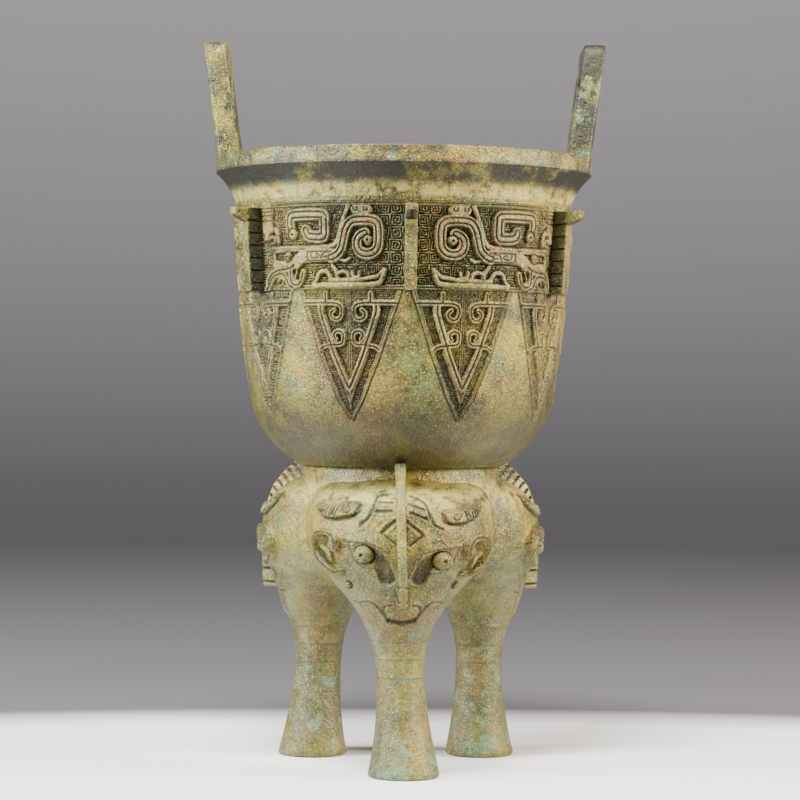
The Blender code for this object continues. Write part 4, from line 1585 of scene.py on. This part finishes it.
@dataclass(frozen=True)
class PatinatedBronze:
    """Cast tin bronze under an old olive patina. The eye gets a grainy satin skin with tan relief that carries
    wear and painted highlight, hollows dark with grime and painted shade, painted shade on the belly, painted
    shadow with smoke-black under the rim, painted highlights on the lobes' crowns and in the cove, green
    verdigris and spots of rust and red cuprite."""

    olive: str = "#413f19"
    straw: str = "#8c8329"
    grey_green: str = "#54683a"
    pale: str = "#d2c476"
    umber: str = "#322c14"
    verdigris: str = "#5f9a80"
    rust: str = "#9a5a1c"
    amber: str = "#a5741f"
    cuprite: str = "#74301f"
    # Smoke-black, also used for the painted shadow under the rim
    soot_and_shadow: str = "#24251f"
    # Near-black of grime and painted shade in the hollows
    hollow: str = "#120d07"
    # Tan of wear with painted highlight on the raised relief
    wear_and_sheen: str = "#83734b"
    clouds: Pattern = (46.0, 0.0, 6.0)
    patches: Pattern = (13.0, 0.53, 6.0)
    mottling: Pattern = (8.0, 0.31, 6.0)
    speckles: Pattern = (2.6, 0.17, 4.0)
    grains: Pattern = (1.2, 0.2, 2.0)
    green_blots: Pattern = (33.0, 0.77, 4.0)
    rim_salts: Pattern = (16.0, 0.23, 6.0)
    rust_spots: Pattern = (10.0, 1.31, 6.0)
    umber_spots: Pattern = (17.0, 0.9, 8.0)
    amber_haze: Pattern = (41.0, 2.1, 6.0)
    cuprite_spots: Pattern = (6.0, 0.91, 4.0)
    under_rim_patches: Pattern = (38.0, 1.73, 5.0)
    ear_smoke: Pattern = (21.0, 0.12, 5.0)
    rim_smoke: Pattern = (24.0, 0.66, 5.0)
    leg_salts_z: Fade = (0.17, 0.05)
    rim_salts_z: Fade = (0.37, 0.40)
    # Heights of the painted shade on the belly
    belly_z: Zone = ((0.205, 0.211), (0.288, 0.228))
    leg_z: Fade = (0.170, 0.120)
    # Heights of the painted highlights on the lobes' crowns and in the cove
    crown_highlight_z: Zone = ((0.176, 0.190), (0.202, 0.190))
    cove_highlight_z: Zone = ((0.3875, 0.390), (0.400, 0.395))
    # Heights of the dark band under the rim: painted shadow with smoke-black
    under_rim_z: Zone = ((0.393, 0.402), (0.413, 0.409))
    ear_z: Fade = (0.425, 0.432)
    rim_top_z: Fade = (0.4093, 0.4105)
    coat_roughness: float = 0.27

    def build(self) -> bpy.types.Material:
        """Makes the material.

        Returns:
            The material.
        """
        material = bpy.data.materials.new(SLOT)
        material.use_nodes = True
        tree = material.node_tree
        shader = tree.nodes["Principled BSDF"]
        place = add(tree, "TexCoord", {}, {}).outputs["Object"]
        recess = add(tree, "Attribute", {"attribute_name": "recess"}, {}).outputs["Fac"]
        wear_and_highlight = add(tree, "Attribute", {"attribute_name": "wear_and_highlight"}, {}).outputs["Fac"]
        split = add(tree, "SeparateXYZ", {}, {0: place}).outputs
        across, height = split["X"], split["Z"]

        def noise(pattern: Pattern) -> Any:
            """Noise in the object's own coordinates.

            Args:
                pattern: Its width, shift and detail.

            Returns:
                The noise's output.
            """
            size_mm, shift, detail = pattern
            moved = add(tree, "Mapping", {}, {"Vector": place, "Location": (shift, shift * 0.7, shift * 0.4)})
            settings = {"Vector": moved.outputs[0], "Scale": 1000 / size_mm, "Detail": detail, "Roughness": 0.62}
            return add(tree, "TexNoise", {}, settings).outputs["Fac"]

        def band(value: Any, low: float, high: float, top: float = 1.0) -> Any:
            """Share from 0 to top as a value runs from low to high."""
            settings = {"Value": value, "From Min": low, "From Max": high, "To Max": top}
            return add(tree, "MapRange", {"interpolation_type": "SMOOTHSTEP"}, settings).outputs[0]

        def maths(operation: str, *values: Any) -> Any:
            """Result of an operation on values."""
            return add(tree, "Math", {"operation": operation}, dict(enumerate(values))).outputs[0]

        def both(first: Any, second: Any) -> Any:
            """Product of two shares."""
            return maths("MULTIPLY", first, second)

        def within(zone: Zone, top: float = 1.0) -> Any:
            """Share from 0 to top between the heights of a zone."""
            return both(band(height, *zone[0]), band(height, *zone[1], top))

        def coat(under: Any, code: str, share: Any) -> Any:
            """A colour laid over another by a share."""
            return add(tree, "Mix", {"data_type": "RGBA"}, {"Factor": share, 6: under, 7: linear(code)}).outputs[2]

        mottle, speckle, grain = noise(self.mottling), noise(self.speckles), noise(self.grains)
        blend = maths("MULTIPLY_ADD", noise(self.clouds), 0.6, maths("MULTIPLY", mottle, 0.4))
        # Painted highlight on the lobes' crowns and in the cove
        painted_highlight = both(maths("ADD", within(self.crown_highlight_z), within(self.cove_highlight_z)), band(mottle, 0.32, 0.58, 0.6))
        smoke = maths("MULTIPLY_ADD", across, 0.55, noise(self.ear_smoke))
        ear_soot = both(band(height, *self.ear_z), band(smoke, 0.47, 0.52, 0.9))
        rim_soot = both(band(height, *self.rim_top_z), band(noise(self.rim_smoke), 0.49, 0.57, 0.55))
        layers = (
            # The skin
            (self.straw, band(blend, 0.42, 0.60)),
            (self.grey_green, both(band(mottle, 0.44, 0.60), band(noise(self.green_blots), 0.42, 0.6))),
            # Salts and spots
            (self.verdigris, both(band(noise(self.patches), 0.52, 0.61, 0.7), band(height, *self.leg_salts_z))),
            (self.verdigris, both(band(noise(self.rim_salts), 0.54, 0.62), band(height, *self.rim_salts_z, 0.35))),
            (self.rust, band(noise(self.rust_spots), 0.56, 0.68, 0.55)),
            (self.umber, band(noise(self.umber_spots), 0.50, 0.64, 0.45)),
            (self.amber, band(noise(self.amber_haze), 0.48, 0.66, 0.24)),
            # Wear and painted highlight on the raised relief, and grain
            (self.wear_and_sheen, both(wear_and_highlight, band(mottle, 0.36, 0.62, 0.75))),
            (self.pale, band(grain, 0.54, 0.70, 0.6)),
            (self.umber, band(speckle, 0.46, 0.34, 0.65)),
            # Painted shade on the belly, the legs darker towards the feet, and painted highlights on the lobes'
            # crowns and in the cove
            (self.umber, within(self.belly_z, 0.7)),
            (self.olive, band(height, *self.leg_z, 0.45)),
            (self.pale, both(painted_highlight, band(wear_and_highlight, 0.3, 0.05))),
            (self.cuprite, band(noise(self.cuprite_spots), 0.69, 0.74, 0.6)),
            # Grime and painted shade in the hollows, painted shadow with smoke-black under the rim, and smoke-black
            # on the ears and the rim's top
            (self.hollow, both(recess, band(mottle, 0.2, 0.5, 0.97))),
            (self.soot_and_shadow, both(within(self.under_rim_z), band(noise(self.under_rim_patches), 0.37, 0.48, 0.95))),
            (self.soot_and_shadow, maths("MAXIMUM", ear_soot, rim_soot)),
        )
        colour = linear(self.olive)
        for code, share in layers:
            colour = coat(colour, code, share)
        tree.links.new(colour, shader.inputs["Base Color"])
        rough = maths("ADD", maths("MULTIPLY_ADD", recess, 0.4, band(mottle, 0.3, 0.7, 0.2)), 0.4)
        tree.links.new(rough, shader.inputs["Roughness"])
        tree.links.new(maths("MULTIPLY_ADD", recess, -0.4, 0.5), shader.inputs["Metallic"])
        tree.links.new(maths("MULTIPLY_ADD", recess, -0.3, 0.3), shader.inputs["Coat Weight"])
        shader.inputs["Coat Roughness"].default_value = self.coat_roughness
        relief = maths("MULTIPLY_ADD", mottle, 1.6, maths("MULTIPLY_ADD", speckle, 1.0, grain))
        for name, depth in (("Normal", 0.0009), ("Coat Normal", 0.0004)):
            bump = add(tree, "Bump", {}, {"Strength": 1.0, "Distance": depth, "Height": relief})
            tree.links.new(bump.outputs[0], shader.inputs[name])
        return material


@dataclass(frozen=True)
class MattPaper:
    """Matt paper, pale round the vessel and grey beyond, lighter as it rises."""

    pale: str = "#e0e0de"
    low_grey: str = "#525054"
    high_grey: str = "#9c9a9e"
    top_z: float = 1.1
    narrowing: tuple[float, float, float] = (0.4, 1.0, 1.0)
    edge: Fade = (0.19, 0.28)
    roughness: float = 0.85

    def build(self) -> bpy.types.Material:
        """Makes the material.

        Returns:
            The material.
        """
        material = bpy.data.materials.new("matt_paper")
        material.use_nodes = True
        tree = material.node_tree
        place = add(tree, "TexCoord", {}, {}).outputs["Object"]
        height = add(tree, "SeparateXYZ", {}, {0: place}).outputs["Z"]
        flat = add(tree, "VectorMath", {"operation": "MULTIPLY"}, {0: place, 1: self.narrowing}).outputs[0]
        away = add(tree, "VectorMath", {"operation": "LENGTH"}, {0: flat}).outputs["Value"]

        def ramp(value: Any, ends: Fade, low: Any, high: Any) -> Any:
            """Colour that follows a value.

            Args:
                value: The value.
                ends: The values at which the colour starts to change and stops.
                low: Colour at the first end.
                high: Colour at the second end.

            Returns:
                The colour's output.
            """
            share = add(tree, "MapRange", {}, {"Value": value, "From Min": ends[0], "From Max": ends[1]})
            mix = {"Factor": share.outputs[0], 6: low, 7: high}
            return add(tree, "Mix", {"data_type": "RGBA"}, mix).outputs[2]

        # Painted light falloff: the backdrop's grey grows lighter as it rises
        grey = ramp(height, (0.0, self.top_z), linear(self.low_grey), linear(self.high_grey))
        shader = tree.nodes["Principled BSDF"]
        tree.links.new(ramp(away, self.edge, linear(self.pale), grey), shader.inputs["Base Color"])
        shader.inputs["Roughness"].default_value = self.roughness
        return material


@dataclass(frozen=True)
class Lamp:
    """A soft square light."""

    name: str
    place: tuple[float, float, float]
    size: float
    watts: float
    tint: str

    def hang(self, aim_z: float) -> None:
        """Hangs the light.

        Args:
            aim_z: Height of the point on the vessel's axis that it faces.
        """
        data = bpy.data.lights.new(self.name, "AREA")
        data.size = self.size
        data.energy = self.watts
        data.color = linear(self.tint)[:3]
        lamp = bpy.data.objects.new(self.name, data)
        bpy.context.scene.collection.objects.link(lamp)
        aim = Vector((0, 0, aim_z)) - Vector(self.place)
        lamp.matrix_world = Matrix.Translation(self.place) @ aim.to_track_quat("-Z", "Y").to_matrix().to_4x4()


@dataclass(frozen=True)
class Studio:
    """Plain pale sweep, soft lights and the camera at the photograph's angle."""

    azimuth: float = math.radians(-3)
    distance: float = 1.7978
    eye_z: float = 0.2735
    tilt: float = math.radians(0.652)
    pan: float = math.radians(0.038)
    roll: float = math.radians(0.55)
    lens: float = 115.44
    aim_z: float = 0.27
    sky: str = "#d5d8dc"
    sky_strength: float = 0.07
    sweep: Path = (
        (0.0, 0.0), (0.8, 0.0), (1.6, 0.0), (2.3, 0.0), (2.75, 0.06),
        (3.1, 0.25), (3.3, 0.6), (3.4, 1.1), (3.4, 2.2),
    )
    lamps: tuple[Lamp, ...] = (
        Lamp("left_bank", (-1.6, -0.5, 0.8), 0.7, 98.0, "#f8faff"),
        Lamp("right_bank", (1.6, -0.45, 0.8), 0.7, 95.0, "#fff3e2"),
        Lamp("front_top", (-0.25, -0.85, 2.2), 0.5, 128.0, "#ffffff"),
        Lamp("low_left", (-0.95, -1.0, 0.2), 0.3, 5.0, "#ffffff"),
        Lamp("low_right", (1.0, -1.0, 0.2), 0.3, 5.0, "#fff6e8"),
    )

    def camera(self) -> None:
        """Sets the camera where the photograph was taken."""
        data = bpy.data.cameras.new("camera")
        data.lens = self.lens
        camera = bpy.data.objects.new("camera", data)
        bpy.context.scene.collection.objects.link(camera)
        place = self.distance * math.sin(self.azimuth), -self.distance * math.cos(self.azimuth), self.eye_z
        turn = Matrix.Rotation(self.azimuth + self.pan, 4, "Z") @ Matrix.Rotation(math.pi / 2 - self.tilt, 4, "X")
        camera.matrix_world = Matrix.Translation(place) @ turn @ Matrix.Rotation(self.roll, 4, "Z")
        bpy.context.scene.camera = camera

    def build(self) -> None:
        """Makes the sweep, the lights and the camera."""
        floor = linked("floor", spun(self.sweep, False, 96))
        floor.data.shade_smooth()
        floor.data.materials.append(MattPaper().build())
        world = bpy.data.worlds.new("studio")
        world.use_nodes = True
        sky = world.node_tree.nodes["Background"]
        sky.inputs["Color"].default_value = linear(self.sky)
        sky.inputs["Strength"].default_value = self.sky_strength
        bpy.context.scene.world = world
        for lamp in self.lamps:
            lamp.hang(self.aim_z)
        self.camera()


def linear(code: str) -> tuple[float, float, float, float]:
    """Linear colour of an sRGB hex code.

    Args:
        code: The code, such as #8f8558.

    Returns:
        Red, green, blue and alpha.
    """
    parts = [int(code[start : start + 2], 16) / 255 for start in (1, 3, 5)]
    red, green, blue = (part / 12.92 if part <= 0.04045 else ((part + 0.055) / 1.055) ** 2.4 for part in parts)
    return red, green, blue, 1.0


def main() -> None:
    """Builds the vessel's pieces in order, then the studio."""
    logging.basicConfig(level=logging.INFO, format="%(name)s: %(message)s")
    foundry = Foundry(PatinatedBronze().build())
    BowlShell().build(foundry)
    for spot in Spot:
        DragonFrieze().build(foundry, spot)
        HangingBlades().build(foundry, spot)
        MaskedLobe(spot).build(foundry)
        NoseFlange().build(foundry, spot)
    for azimuth in range(0, 360, 60):
        BandFlange().build(foundry, azimuth)
    for side in Side:
        EarLoop().build(foundry, side)
    Studio().build()


if __name__ == "__main__":
    main()
